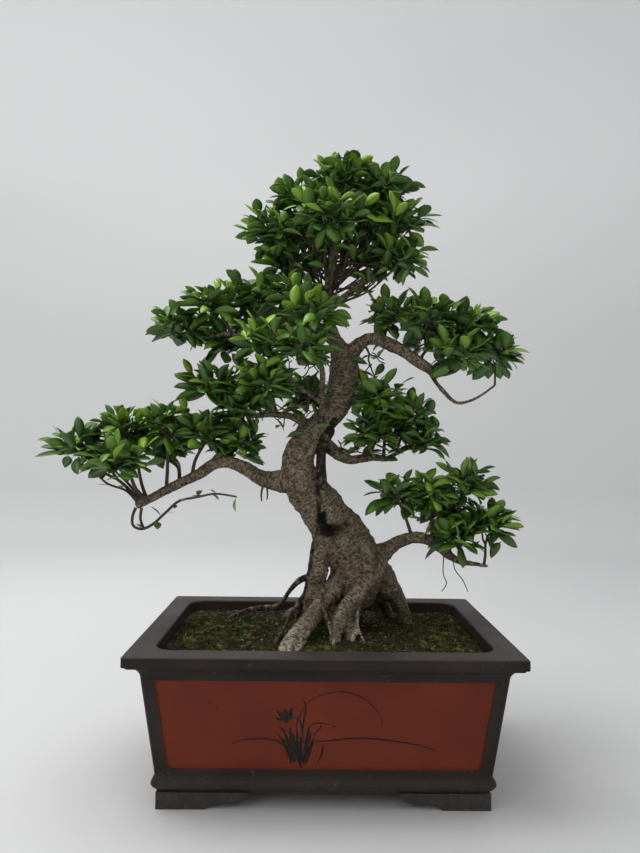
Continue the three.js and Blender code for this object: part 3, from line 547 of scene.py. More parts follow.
# The wood is one grown thing: roots that fuse into a leaning trunk, and the branches that were
# wired and pruned from it. The bark is thin and grey-brown, wrinkled across the grain, and pale
# where the front root has lain in the light. A limb is a line of (x, y, height, radius) in mm.
limbs = {
    "trunk": [
        (38, 16, 172, 24), (38, 16, 192, 27), (41, 12, 216, 29), (44, 8, 240, 34), (47, 6, 264, 38),
        (45, 4, 290, 39), (32, 2, 315, 38), (13, 0, 342, 36), (-8, -1, 370, 33), (-28, -2, 396, 29),
        (-40, -4, 421, 25), (-41, -4, 440, 23.5), (-34, -3, 459, 22), (-22, 0, 477, 21),
        (-4, 3, 496, 19.5), (11, 5, 515, 20), (19, 5, 536, 20.5), (25, 4, 559, 22.5),
        (26, 2, 581, 21), (20, 2, 602, 15), (10, 4, 623, 10.5), (2, 6, 648, 9), (-3, 6, 674, 8),
        (0, 5, 700, 6.5), (8, 3, 735, 5), (16, 1, 775, 4), (22, 0, 815, 3),
    ],
    "shoulder": [
        (66, 6, 262, 22), (58, 2, 300, 24), (38, 0, 336, 22), (14, 0, 366, 18), (-6, 0, 388, 14),
    ],
    "healed_stub": [
        (-38, -4, 452, 17), (-36, -4, 472, 15), (-34, -5, 488, 9),
    ],
    "aerial_strand": [
        (10, -8, 500, 6), (9, -14, 486, 7.3), (-2, -17, 468, 7.5), (-7, -17, 446, 7.5),
        (-7, -16, 424, 8), (-7, -18, 400, 8.5), (-9, -24, 376, 6), (-10, -30, 356, 4),
    ],
    "thin_strand": [
        (-12, -20, 415, 2.8), (-12, -31, 392, 2.8), (-10, -34, 370, 2.8), (-12, -34, 342, 2.8),
        (-18, -26, 318, 2.8), (-22, -22, 288, 2.6), (-27, -24, 258, 2.6), (-36, -28, 226, 2.6),
        (-44, -34, 190, 2.6),
    ],
    "left_leg": [
        (6, 0, 350, 15), (1, -8, 326, 15), (-5, -14, 304, 14), (-9, -17, 280, 13.2),
        (-14, -18, 256, 12.8), (-22, -17, 230, 12.2), (-31, -14, 206, 11.5), (-38, -11, 176, 10),
    ],
    "front_root": [
        (26, -4, 266, 17), (8, -24, 248, 14), (-10, -45, 230, 12), (-28, -65, 212, 12.5),
        (-41, -82, 197, 14.5), (-49, -95, 182, 15), (-54, -104, 166, 11),
    ],
    "crossing_root": [
        (84, -4, 290, 14), (64, -25, 265, 11.8), (43, -40, 246, 11.5), (27, -50, 231, 11),
        (18, -55, 213, 9.5), (14, -58, 188, 8), (12, -60, 168, 6),
    ],
    "stub_root": [
        (48, -14, 256, 14), (38, -34, 232, 11), (34, -44, 212, 10), (36, -49, 194, 8.5),
        (38, -52, 170, 6),
    ],
    "right_buttress": [
        (68, 2, 290, 23), (88, 18, 260, 20), (108, 35, 233, 14.5), (121, 45, 210, 12),
        (127, 52, 189, 11), (131, 57, 164, 8),
    ],
    "back_right_root": [
        (60, 22, 264, 22), (78, 46, 238, 16), (93, 70, 214, 12.5), (104, 88, 192, 10),
        (110, 98, 166, 7),
    ],
    "back_root": [
        (36, 22, 252, 23), (31, 48, 227, 15), (25, 74, 205, 11), (20, 92, 188, 9),
        (17, 102, 166, 6),
    ],
    "back_left_root": [
        (24, 18, 236, 17), (0, 36, 221, 12.5), (-27, 54, 206, 10), (-52, 70, 193, 8.5),
        (-70, 82, 168, 6),
    ],
    "arch_root": [
        (-10, -8, 268, 6), (-27, -2, 266, 5.5), (-40, 8, 257, 4.8), (-52, 26, 240, 3.8),
        (-64, 58, 216, 3.4), (-78, 82, 203, 4), (-97, 88, 200, 4.4), (-120, 86, 196, 4),
        (-144, 68, 190, 3.2), (-160, 54, 178, 2.6),
    ],
    "side_root": [
        (-20, -14, 254, 3.6), (-34, -24, 240, 3.4), (-46, -38, 222, 3.2), (-58, -54, 204, 3),
        (-68, -70, 190, 2.8), (-76, -84, 174, 2.6),
    ],
    "loose_root": [
        (4, -28, 284, 3), (-2, -40, 264, 3.2), (-4, -53, 246, 3.2), (0, -65, 230, 3.1),
        (7, -74, 213, 2.9), (11, -83, 196, 2.8), (18, -92, 176, 2.6),
    ],
    "pale_root": [
        (52, -30, 246, 3), (47, -43, 228, 2.6), (46, -52, 208, 2.5), (38, -62, 190, 2.4),
        (34, -66, 174, 2.4),
    ],
    "pale_fork": [
        (46, -51, 211, 2.5), (51, -58, 198, 2.4), (56, -64, 186, 2.4), (58, -66, 172, 2.4),
    ],
    "left_branch": [
        (-30, -2, 420, 22), (-48, -4, 411, 19), (-66, -5, 407, 16), (-84, -6, 409, 13.2),
        (-100, -8, 414, 11.7), (-118, -10, 425, 10.3), (-139, -12, 434, 8.8), (-162, -15, 432, 8.2),
        (-184, -18, 417, 7.8), (-205, -21, 406, 7.2), (-226, -24, 395, 6.9), (-248, -27, 383, 6.3),
        (-265, -29, 374, 6.3), (-271, -30, 370, 5.4),
    ],
    "low_right_branch": [
        (52, 2, 280, 24), (68, 1, 288, 20), (83, 0, 301, 15.5), (96, -3, 312, 11.3),
        (110, -6, 321, 10), (128, -9, 327, 8.8), (146, -12, 326, 8.2), (165, -15, 316, 7.6),
        (182, -17, 302, 6.2), (198, -19, 294, 4.8), (217, -21, 292, 3.5), (236, -23, 289, 2.6),
    ],
    "high_right_branch": [
        (26, 2, 578, 16), (34, 1, 596, 13), (44, 0, 609, 11), (57, -3, 619, 9.7),
        (73, -6, 620, 9.7), (94, -9, 611, 9.3), (116, -12, 599, 8.9), (138, -14, 583, 8.3),
        (160, -16, 570, 6.6), (176, -17, 569, 4.7), (194, -18, 576, 3.5),
    ],
    "high_right_loop": [
        (150, -15, 572, 4.5), (160, -15, 556, 3.6), (172, -14, 542, 3.4), (186, -12, 529, 3),
        (198, -10, 526, 2.8), (218, -8, 532, 2.5), (236, -7, 543, 2.2), (252, -6, 556, 2),
    ],
    "middle_right_branch": [
        (-18, 4, 474, 12), (2, 12, 462, 10.5), (19, 16, 447, 9), (37, 20, 440, 7.6),
        (55, 22, 442, 6.8), (74, 24, 444, 6), (92, 26, 442, 4.8), (112, 28, 452, 3.7),
        (134, 28, 462, 2.8),
    ],
    "inner_left_branch": [
        (-10, 2, 490, 10), (-28, -4, 492, 7.5), (-52, -12, 502, 6), (-80, -18, 505, 5.2),
        (-112, -20, 503, 4.2), (-140, -20, 514, 3),
    ],
    "high_left_branch": [
        (14, 3, 612, 10), (-4, 0, 628, 8.5), (-30, -6, 636, 7), (-62, -10, 636, 6),
        (-100, -10, 628, 5.2), (-142, -10, 624, 4.2), (-186, -8, 618, 3),
    ],
    "front_branch": [
        (-4, -6, 484, 8), (-7, -20, 496, 5.8), (-8, -30, 518, 5), (-8, -40, 542, 4.6),
        (-8, -52, 564, 4), (-14, -66, 588, 3.2),
    ],
    "front_side_branch": [
        (-8, -32, 522, 4.2), (-24, -42, 532, 3.6), (-46, -54, 546, 3.2), (-66, -66, 568, 2.8),
    ],
    "back_branch": [
        (14, 6, 518, 12), (20, 28, 526, 8.5), (22, 58, 530, 6.5), (18, 90, 530, 5),
        (14, 112, 536, 3.5),
    ],
    "crown_left": [
        (-2, 6, 666, 6.5), (-20, 4, 692, 5.2), (-42, 2, 722, 4.2), (-64, 0, 748, 3.2),
    ],
    "crown_right": [
        (-1, 6, 664, 6.5), (24, 4, 684, 5.4), (58, 2, 712, 4.6), (88, 0, 738, 3.8),
        (104, -2, 766, 3),
    ],
    "crown_front": [
        (-3, 6, 680, 5.5), (0, -18, 706, 4.4), (4, -44, 732, 3.4),
    ],
    "crown_back": [
        (-3, 6, 676, 6), (8, 32, 708, 4.8), (20, 56, 742, 3.8), (24, 68, 776, 3),
    ],
}
# Hollows in the wood: the middle of each, how far it reaches each way, and its depth, in millimetres.
# Each is also painted darker by its depth, as painted shade.
hollows = [
    ((4, -30, 337), (14, 36, 11), 16), ((17, -30, 342), (16, 36, 9), 9.5),
    ((-4, -30, 354), (6, 30, 17), 10), ((32, -30, 349), (10, 30, 7), 5),
    ((66, 8, 208), (20, 60, 22), 12), ((94, 62, 206), (22, 40, 17), 5),
    ((21, -16, 486), (12, 20, 8), 5), ((34, -34, 318), (6, 24, 6), 3), ((24, -34, 300), (7, 24, 5), 3),
    ((42, -30, 372), (7, 24, 5), 2.5), ((-38, -30, 440), (6, 22, 5), 2.5),
    ((52, -30, 330), (5, 24, 5), 2.5), ((-12, -30, 262), (10, 16, 4), 3),
]
# How much darker than the trunk a limb's bark is, or how much paler where the number is below 0
bark_shades = {
    "pale_root": -0.8, "pale_fork": -0.8, "loose_root": 0.25, "aerial_strand": 0.5,
    "thin_strand": 0.42, "side_root": 0.4, "arch_root": 0.25,
}
limb_lines = {name: smooth_line(points) for name, points in limbs.items()}
wood = sweep("trunk_and_roots", limb_lines.values(), round_steps=6)
skin = wood.modifiers.new("skin", "REMESH")
skin.mode = "VOXEL"
skin.voxel_size = 2 * MM
ease = wood.modifiers.new("ease", "SMOOTH")
ease.factor = 0.5
ease.iterations = 5
settle(wood)


def along_limbs(lines):
    # Rows of place, radius, distance along the limb, direction, side direction and shade
    rows = []
    for name, line in lines.items():
        walked = 0
        for number, knot in enumerate(line):
            before, after = line[max(number - 1, 0)], line[min(number + 1, len(line) - 1)]
            onward = (after - before).xyz.normalized()
            side = Vector((0.12, 1, 0.07)).cross(onward).normalized()
            if number:
                walked += (knot - line[number - 1]).xyz.length
            rows.append((*knot, walked, *onward, *side, bark_shades.get(name, 0)))
    return np.array(rows)


def nearest_rows(points, rows):
    # For each point, the row whose round stem comes nearest to it
    nearest = np.empty(len(points), int)
    for start in range(0, len(points), 4000):
        part = points[start:start + 4000]
        gaps = np.linalg.norm(part[:, None, :] - rows[None, :, :3], axis=2) - rows[:, 3]
        nearest[start:start + 4000] = gaps.argmin(axis=1)
    return rows[nearest]


def read_rows(vectors, key):
    values = np.empty(len(vectors) * 3)
    vectors.foreach_get(key, values)
    return values.reshape(-1, 3)


def noise_at(points, size, seed=0):
    # Smooth noise from -1 to 1 at points in metres, with bumps about that size across
    shift = Vector((seed * 17.3, seed * 9.1, seed * 5.7))
    return np.array([noise.noise(Vector(point) / size + shift) for point in points])


def add_values(mesh, name, values, kind="FLOAT", key="value"):
    layer = mesh.attributes.new(name, kind, "POINT")
    layer.data.foreach_set(key, np.asarray(values, dtype=np.float32).ravel())


rows = along_limbs(limb_lines)
skin_points = read_rows(wood.data.vertices, "co")
skin_normals = read_rows(wood.data.vertex_normals, "vector")
stem = nearest_rows(skin_points, rows)
stem_place, stem_radius, stem_walked = stem[:, :3], stem[:, 3], stem[:, 4]
stem_onward, stem_side, stem_shade = stem[:, 5:8], stem[:, 8:11], stem[:, 11]
offset = skin_points - stem_place
along = stem_walked + (offset * stem_onward).sum(axis=1)
round_x = (offset * stem_side).sum(axis=1)
round_y = (offset * np.cross(stem_onward, stem_side)).sum(axis=1)
grain = np.stack([along, round_x, round_y], axis=1)

# The skin rises in long cords, lumps, knuckles and fine wrinkles across the limb, and in knobs on the
# foot of the front roots, by these heights in millimetres. Thin limbs get less of it.
cord_rise, lump_rise, knuckle_rise, wrinkle_rise, knob_rise = 3.2, 3.4, 1.8, 1.3, 6.5
fully_shaded_dent = 16
girth = np.clip(stem_radius / (30 * MM), 0.1, 1)
cords = noise_at(grain * (0.25, 1, 1), 10 * MM, 1)
lumps = noise_at(skin_points, 24 * MM, 2)
knuckles = noise_at(skin_points, 9 * MM, 3)
wrinkles = noise_at(grain * (1, 0.42, 0.42), 4.6 * MM, 4)
wrinkles += 0.6 * noise_at(skin_points, 4.5 * MM, 6)
front_foot = np.clip((245 * MM - skin_points[:, 2]) / (60 * MM), 0, 1)
front_foot *= np.clip((-40 * MM - skin_points[:, 1]) / (40 * MM), 0, 1)
rise = (cord_rise * cords + lump_rise * lumps + knuckle_rise * knuckles) * girth
rise += wrinkle_rise * wrinkles * girth ** 0.6
rise += knob_rise * girth * front_foot * np.abs(noise_at(skin_points, 8 * MM, 7))
# Each hollow is dented into the wood and painted darker by its depth, as painted shade in the recess.
hollow_shade = np.zeros(len(skin_points))
for place, reach, depth in hollows:
    gap = np.linalg.norm((skin_points / MM - place) / reach, axis=1)
    dent = depth * np.exp(-gap ** 2 * 1.6) * (1 + 0.5 * knuckles)
    hollow_shade = np.maximum(hollow_shade, dent / fully_shaded_dent)
    rise -= dent
moved = skin_points + skin_normals * (rise * MM)[:, None]
wood.data.vertices.foreach_set("co", moved.ravel())
wood.data.transform(Matrix.Translation(pot_middle))
wood.data.update()

mossy = np.clip(skin_normals[:, 2] + 0.25, 0, 1)
mossy *= np.clip(0.5 + noise_at(skin_points, 45 * MM, 5) * 1.6, 0, 1)
mossy *= np.clip((stem_radius - 6 * MM) / (12 * MM), 0, 1)
add_values(wood.data, "grain", grain, "FLOAT_VECTOR", "vector")
add_values(wood.data, "pale", np.clip(front_foot - stem_shade, 0, 1))
add_values(wood.data, "moss", mossy)
# Painted shade: the bark is darker where its relief is low and in the hollows, and the darker limbs
# add their own tone.
raised = 0.4 * cords + 1.1 * wrinkles + 0.5 * knuckles
painted_shade_and_limb_tone = 0.4 - 0.3 * raised + 0.9 * stem_shade + 1.3 * hollow_shade
add_values(wood.data, "painted_shade_and_tone", np.clip(painted_shade_and_limb_tone, 0, 1))
wood.data.shade_smooth()


def read_value(tree, name, output="Fac"):
    return add_node(tree, "Attribute", attribute_name=name).outputs[output]


bark, tree, shader = new_material("banyan_bark", Specular_IOR_Level=0.25)
wrinkled = {"Vector": read_value(tree, "grain", "Vector"), "Scale": (1, 0.46, 0.46)}
across = add_node(tree, "Mapping", wrinkled).outputs["Vector"]
ripples = speckle(tree, across, 360, detail=8, roughness=0.7)
place = object_place(tree)
cloud = speckle(tree, place, 34, detail=9, roughness=0.75)
crust = speckle(tree, place, 280, detail=6, roughness=0.7)
brown, middle, light = (0.19, 0.137, 0.087), (0.30, 0.234, 0.152), (0.41, 0.34, 0.235)
colour = ramp(tree, cloud, (0.36, brown), (0.5, middle), (0.62, light))
scaly = ramp(tree, crust, (0.41, 0.5), (0.52, 1))
pale = calculate(tree, "MULTIPLY", read_value(tree, "pale"), scaly)
colour = cover(tree, colour, pale, (0.76, 0.67, 0.50))
colour = stain(tree, colour, crust, (0.41, 0.7), (0.49, 0), (0.05, 0.037, 0.027))
colour = stain(tree, colour, ripples, (0.49, 0), (0.57, 0.8), (0.045, 0.033, 0.024))
colour = stain(tree, colour, ripples, (0.38, 0.5), (0.46, 0), (0.50, 0.432, 0.315))
painted_shade_and_tone = read_value(tree, "painted_shade_and_tone")
# The painted shade of creases and hollows, with the darker limbs' own tone
colour = stain(tree, colour, painted_shade_and_tone, (0.45, 0), (0.9, 0.96), (0.012, 0.009, 0.007))
green = calculate(tree, "MULTIPLY", read_value(tree, "moss"), 0.42)
colour = cover(tree, colour, green, (0.085, 0.095, 0.035))
roughness = ramp(tree, cloud, (0.3, 0.7), (0.7, 0.9))
relief = calculate(tree, "SUBTRACT", crust, calculate(tree, "MULTIPLY", ripples, 1.6))
finish_surface(tree, shader, colour, relief, 2.2 * MM, 1.0, roughness)
wood.data.materials.append(bark)
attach(wood, "root")
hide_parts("wood")


# Thin wood carries the leaves: shoots fork upwards from the branches under each tuft. A few runners
# loop below the left branch, and fine roots hang from the lower right one. Each branch is listed
# with its tufts, and how far along the branch each tuft's shoots start.
carried = {
    "trunk": {"crown_top": 0.97, "crown_top_left": 0.9, "middle_right_top": 0.58},
    "crown_right": {"crown_top_right": 0.95, "crown_right": 0.9, "crown_low_right": 0.65},
    "crown_left": {"crown_left": 0.9, "crown_low_left": 0.7},
    "crown_front": {"crown_front": 0.95},
    "crown_back": {"crown_back_left": 0.9, "crown_back_right": 0.95},
    "high_left_branch": {"high_left_tip": 0.97, "high_left_outer": 0.8, "high_left_top": 0.62,
        "high_left_inner": 0.4, "high_left_low": 0.85, "high_left_back": 0.55},
    "front_branch": {"front_top": 0.97, "front_middle": 0.85},
    "front_side_branch": {"front_left": 0.95, "front_low": 0.6},
    "inner_left_branch": {"inner_left_tip": 0.95, "inner_left_middle": 0.7,
        "inner_left_back": 0.75},
    "left_branch": {"left_tip": 0.97, "left_outer": 0.93, "left_middle": 0.82, "left_inner": 0.68,
        "left_back": 0.75, "left_front": 0.92, "left_crotch": 0.45},
    "high_right_branch": {"high_right_inner": 0.4, "high_right_middle": 0.62,
        "high_right_outer": 0.9, "high_right_low": 0.85, "high_right_back": 0.7},
    "high_right_loop": {"high_right_tip": 0.97},
    "middle_right_branch": {"middle_right_outer": 0.85, "middle_right_low": 0.6,
        "middle_right_tip": 0.97, "middle_right_back": 0.7},
    "low_right_branch": {"low_right_inner": 0.42, "low_right_middle": 0.55, "low_right_top": 0.72,
        "low_right_tip": 0.97, "low_right_under": 0.82, "low_right_back": 0.75},
    "back_branch": {"back_left": 0.9, "back_right": 0.95},
}
chance = random.Random(11)
leaf_turn = math.radians(137.5)


def point_along(line, share):
    return line[min(round(share * (len(line) - 1)), len(line) - 1)].copy()


# The crown's tufts are drawn in a little towards its middle.
crown_middle, crown_pull = Vector((-30, 0, 775)) * MM, 0.92
shoots_per_area = 4500
shoot_reach, long_shoot_reach = 0.72, 1.12


def shoot_places(tuft):
    # Where the shoots of a tuft end, spread through the space that the tuft fills. One shoot in six
    # is long and stands out of it.
    low, high = (Vector(corner) - pot_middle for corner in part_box("leaves_" + tuft))
    middle, half = (low + high) / 2, (high - low) / 2
    count = round(5 + shoots_per_area * half.x * half.y)
    if tuft.startswith("crown"):
        middle = crown_middle.lerp(middle, crown_pull)
    places = []
    for number in range(count):
        height = -0.25 + 1.15 * (number + 0.5) / count
        around = number * leaf_turn + chance.uniform(-0.5, 0.5)
        reach = math.sqrt(max(0, 1 - height * height)) * chance.uniform(0.55, 0.95)
        way = Vector((math.cos(around) * reach, math.sin(around) * reach, height))
        stretch = long_shoot_reach if number % 6 == 2 else shoot_reach
        place = middle + Vector(a * b for a, b in zip(way, half)) * stretch
        places.append((place, way.normalized()))
    return places


def fork(start, places, radius, shoots, joints):
    # Splits the places in two until each has a shoot of its own, and keeps the lines and joints
    goal = sum(places, Vector()) / len(places)
    end = places[0] if len(places) == 1 else start.lerp(goal, chance.uniform(0.4, 0.6))
    span = (end - start).length
    bend = Vector(chance.uniform(-0.12, 0.12) * span for axis in range(3))
    middle = start.lerp(end, 0.5) + bend
    thin = max(0.9 * MM, radius * 0.78)
    shoots.append([(*start, radius), (*middle, (radius + thin) / 2), (*end, thin)])
    if len(places) == 1:
        return
    joints.append((end, bend.normalized()))
    spans = [max(row) - min(row) for row in zip(*places)]
    widest = spans.index(max(spans))
    places = sorted(places, key=lambda place: place[widest])
    half = len(places) // 2
    fork(end, places[:half], thin, shoots, joints)
    fork(end, places[half:], thin, shoots, joints)


tuft_shoots, tuft_joints, inner_places = {}, {}, []
shoots = []
for limb, tufts in carried.items():
    for tuft, share in tufts.items():
        knot = point_along(limb_lines[limb], share)
        tuft_shoots[tuft] = shoot_places(tuft)
        places = [place for place, way in tuft_shoots[tuft]]
        tuft_joints[tuft] = []
        fork(knot.xyz, places, min(2.9 * MM, knot.w * 0.8), shoots, tuft_joints[tuft])
# A fan of thin shoots rises from the top of the trunk into the crown.
crown_fan = 64
for number in range(crown_fan):
    tuft = chance.choice([tuft for tuft in tuft_shoots if tuft.startswith("crown")])
    place, way = chance.choice(tuft_shoots[tuft])
    knot = point_along(limb_lines["trunk"], chance.uniform(0.76, 0.9))
    bend = Vector((chance.uniform(-14, 14), chance.uniform(-14, 14), -16)) * MM
    middle = knot.xyz.lerp(place, 0.5) + bend
    shoots.append([(*knot.xyz, 2 * MM), (*middle, 1.4 * MM), (*place, 0.8 * MM)])
    inner_places += [knot.xyz.lerp(place, chance.uniform(0.45, 0.95)) for whorls in range(2)]
# Short twigs that are nearly bare fill the gaps beside the trunk: where they start, the lowest and
# highest corners of the space that they fill, and how many there are
inner_twigs = [
    ((-8, -32, 520), (-88, -62, 486), (-4, -26, 588), 22),
    ((52, -3, 616), (44, -40, 556), (92, -12, 600), 7),
    ((30, 18, 443), (10, -10, 446), (100, 30, 470), 12),
]
for start, low, high, count in inner_twigs:
    places = [Vector(map(chance.uniform, low, high)) * MM for number in range(count)]
    fork(Vector(start) * MM, places, 2 * MM, shoots, [])
    inner_places += places[::3]
runners = [
    [(-271, -31, 368, 2.6), (-275, -32, 356, 2.4), (-274, -32, 343, 2.2), (-262, -32, 338, 2.2),
     (-246, -32, 345, 2), (-228, -31, 362, 2), (-210, -30, 378, 1.8), (-184, -29, 384, 1.7),
     (-158, -29, 389, 1.6), (-128, -27, 385, 1.4)],
    [(-263, -30, 368, 2.2), (-264, -31, 352, 2), (-259, -32, 340, 1.8)],
    [(-268, -30, 374, 2.4), (-284, -34, 392, 2), (-310, -37, 402, 1.7), (-328, -38, 418, 1.2)],
    [(-262, -30, 378, 2.2), (-284, -26, 402, 1.9), (-300, -24, 416, 1.4), (-312, -22, 432, 1.1)],
]
hanging_roots = [
    [(-92, -12, 400, 1.8), (-94, -14, 388, 1.5), (-93, -14, 378, 0.9)],
    [(-86, -10, 398, 1.6), (-85, -12, 387, 1.3), (-86, -12, 380, 0.9)],
    [(172, -20, 302, 1), (171, -22, 278, 0.8), (176, -22, 264, 0.8), (169, -22, 252, 0.6)],
    [(186, -20, 300, 1), (188, -22, 284, 0.8), (200, -22, 268, 0.8), (207, -22, 252, 0.6)],
    [(56, -36, 262, 1.2), (92, -30, 262, 0.8), (104, -22, 258, 0.7)],
]
twig_spacing = 9 * MM
twig_lines = [smooth_line(line, twig_spacing, 1) for line in shoots]
twig_lines += [smooth_line(line) for line in runners + hanging_roots]
twigs = sweep("twigs", twig_lines, round_steps=1)
twigs.data.transform(Matrix.Translation(pot_middle))
twigs.data.shade_smooth()

thin_bark, tree, shader = new_material("young_bark", Specular_IOR_Level=0.3)
place = object_place(tree)
cloud = speckle(tree, place, 60, detail=5)
rings = speckle(tree, object_place(tree, (1, 1, 2.5)), 480, detail=3)
colour = ramp(tree, cloud, (0.35, (0.050, 0.036, 0.026)), (0.68, (0.125, 0.095, 0.068)))
colour = stain(tree, colour, rings, (0.6, 0), (0.75, 0.5), (0.20, 0.16, 0.12))
roughness = ramp(tree, cloud, (0.3, 0.65), (0.7, 0.85))
finish_surface(tree, shader, colour, rings, 0.3 * MM, 0.5, roughness)
twigs.data.materials.append(thin_bark)
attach(twigs, "root")
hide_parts("wood")


# The leaves are thick and glossy, with a pale midrib and a short stalk. They sit in whorls at the
# ends of the shoots, deep green when old and yellow-green when young, and duller underneath.
# The stalk's length and the blade's thickness are shares of the leaf's length.
stalk_length, leaf_thickness = 0.10, 0.0084


def leaf_shape(name, wide, fold, droop, sway):
    # One leaf a metre long, from the stalk at the origin along Y, as a closed two-sided blade that
    # is widest in its middle and pointed at the tip
    bm = bmesh.new()
    bm.loops.layers.uv.new("blade")
    bmesh.ops.create_grid(bm, x_segments=2, y_segments=7, size=0.5, calc_uvs=True)
    for vert in bm.verts:
        across, along = vert.co.x * 2, vert.co.y + 0.5
        half = wide / 2 * math.sin(math.pi * along ** 1.12) ** 0.72 if 0 < along < 1 else 0
        half = max(half, 0.012 if along < 0.5 else 0.002)
        arch = -droop * along * along
        vert.co = (
            across * half + sway * along * along,
            stalk_length + (1 - stalk_length) * along * (1 - 0.3 * droop * along),
            abs(across) ** 1.4 * half * fold + arch,
        )
    foot = stalk_length + 0.001
    stalk = [edge for edge in bm.edges if all(vert.co.y < foot for vert in edge.verts)]
    grown = bmesh.ops.extrude_edge_only(bm, edges=stalk)
    for vert in verts_in(grown["geom"]):
        vert.co.y = 0
    under = bmesh.ops.duplicate(bm, geom=list(bm.faces))
    turned = faces_in(under["geom"])
    bmesh.ops.reverse_faces(bm, faces=turned)
    for face in turned:
        face.material_index = 1
    for vert in {vert for face in turned for vert in face.verts if not vert.is_boundary}:
        vert.co.z -= leaf_thickness
    bmesh.ops.remove_doubles(bm, verts=bm.verts, dist=1e-4)
    return new_mesh(name, bm)


leaf_shapes = [
    leaf_shape("broad_leaf", 0.5, 0.18, 0.10, 0.02),
    leaf_shape("broad_drooping_leaf", 0.46, 0.15, 0.30, -0.04),
    leaf_shape("cupped_leaf", 0.48, 0.35, 0.05, 0.03),
    leaf_shape("long_leaf", 0.41, 0.2, 0.22, -0.05),
    leaf_shape("long_arched_leaf", 0.38, 0.2, 0.42, 0.06),
    leaf_shape("young_leaf", 0.44, 0.45, -0.08, 0.0),
    leaf_shape("flat_leaf", 0.52, 0.08, 0.16, -0.02),
]


def add_copy(bm, shape, matrix):
    # Adds a copy of a small mesh, moved by the matrix, and gives back its points
    start = len(bm.verts)
    bm.from_mesh(shape)
    bm.verts.ensure_lookup_table()
    fresh = bm.verts[start:]
    for vert in fresh:
        vert.co = matrix @ vert.co
    return fresh


def add_leaf(bm, tint, shape, place, way, roll, length, shade):
    # Puts one leaf in the mesh, pointing along way and turned about its midrib
    heading = way.to_track_quat("Y", "Z").to_matrix()
    turn = heading @ Matrix.Rotation(roll, 3, "Y") * length
    for vert in add_copy(bm, shape, Matrix.Translation(place) @ turn.to_4x4()):
        vert[tint] = shade


# Old leaves stand out widely from the shoot and young ones less, by these angles in degrees.
old_spread, young_spread = 84, 34
leaf_levelling = 0.72
whorl_height = 20 * MM
tip_leaf, joint_leaf, inner_leaf = 46 * MM, 40 * MM, 36 * MM


def whorl(bm, tint, place, axis, count, youth, longest):
    # Leaves set round a shoot, each well over a third of a turn from the last, the young ones on top
    side = axis.orthogonal().normalized()
    first = chance.uniform(0, 2 * math.pi)
    for number in range(count):
        around = first + number * leaf_turn + chance.uniform(-0.35, 0.35)
        share = number / max(1, count - 1)
        spread = old_spread + (young_spread - old_spread) * share
        spread = math.radians(spread + chance.uniform(-30, 26))
        out = Matrix.Rotation(around, 3, axis) @ side
        heading = axis * math.cos(spread) + out * math.sin(spread)
        heading.z *= leaf_levelling
        length = chance.uniform(0.7, 1) * longest * (1 - 0.2 * share)
        roll = math.radians(chance.uniform(-42, 42))
        down = -axis * whorl_height * (1 - share)
        shade = min(1, max(0, 0.22 + 0.35 * share * youth + chance.uniform(-0.25, 0.3)))
        if youth > 0.8 and share > 0.5:
            shade = 1 - 0.25 * chance.random()
        shape = chance.choice(leaf_shapes)
        foot = pot_middle + place + down
        add_leaf(bm, tint, shape, foot, heading.normalized(), roll, length, shade)


def fill_tuft(name, shoots, joints):
    bm = bmesh.new()
    tint = bm.verts.layers.float.new("tint")
    for place, way in shoots:
        axis = (way * 0.7 + Vector((0, 0, 0.7))).normalized()
        whorl(bm, tint, place, axis, chance.choice((4, 5, 5, 6)), chance.random(), tip_leaf)
    for place, way in joints[len(joints) // 2:]:
        whorl(bm, tint, place, way, 3, 0, joint_leaf)
    leaves = new_object("leafage_" + name, bm)
    leaves.data.shade_smooth()
    leaves.data.materials.append(leaf_top)
    leaves.data.materials.append(leaf_under)
    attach(leaves, "root")
    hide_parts("leaves_" + name)


def leaf_material(name, dark, middle, bright, rib_colour, rough, **values):
    material, tree, shader = new_material(name, **values)
    blade = add_node(tree, "UVMap", uv_map="blade").outputs["UV"]
    split = add_node(tree, "SeparateXYZ", {"Vector": blade})
    across = calculate(tree, "ABSOLUTE", calculate(tree, "SUBTRACT", split.outputs["X"], 0.5))
    rib = ramp(tree, across, (0.012, 1), (0.05, 0))
    slant = calculate(tree, "ADD", split.outputs["Y"], calculate(tree, "MULTIPLY", across, -0.5))
    veins = calculate(tree, "SINE", calculate(tree, "MULTIPLY", slant, 120))
    cloud = speckle(tree, object_place(tree), 55, detail=4)
    mixed = calculate(tree, "ADD", read_value(tree, "tint"), calculate(tree, "MULTIPLY", cloud, 0.4))
    colour = ramp(tree, mixed, (0.2, dark), (0.62, middle), (0.917, bright))
    colour = cover(tree, colour, calculate(tree, "MULTIPLY", rib, 0.6), rib_colour)
    colour = cover(tree, colour, calculate(tree, "MULTIPLY", veins, 0.05), rib_colour)
    roughness = ramp(tree, cloud, (0.3, rough), (0.7, rough + 0.14))
    relief = calculate(tree, "ADD", veins, calculate(tree, "MULTIPLY", rib, -4))
    finish_surface(tree, shader, colour, relief, 0.12 * MM, 0.35, roughness)
    return material


leaf_top = leaf_material(
    "leaf_upper_side", (0.030, 0.090, 0.012), (0.110, 0.260, 0.018), (0.30, 0.52, 0.045),
    (0.14, 0.24, 0.06), 0.30, Specular_IOR_Level=0.45,
)
leaf_under = leaf_material(
    "leaf_under_side", (0.062, 0.130, 0.040), (0.13, 0.26, 0.050), (0.28, 0.46, 0.06),
    (0.15, 0.22, 0.08), 0.5, Specular_IOR_Level=0.35,
)
for tuft, shoots_there in tuft_shoots.items():
    fill_tuft(tuft, shoots_there, tuft_joints[tuft])


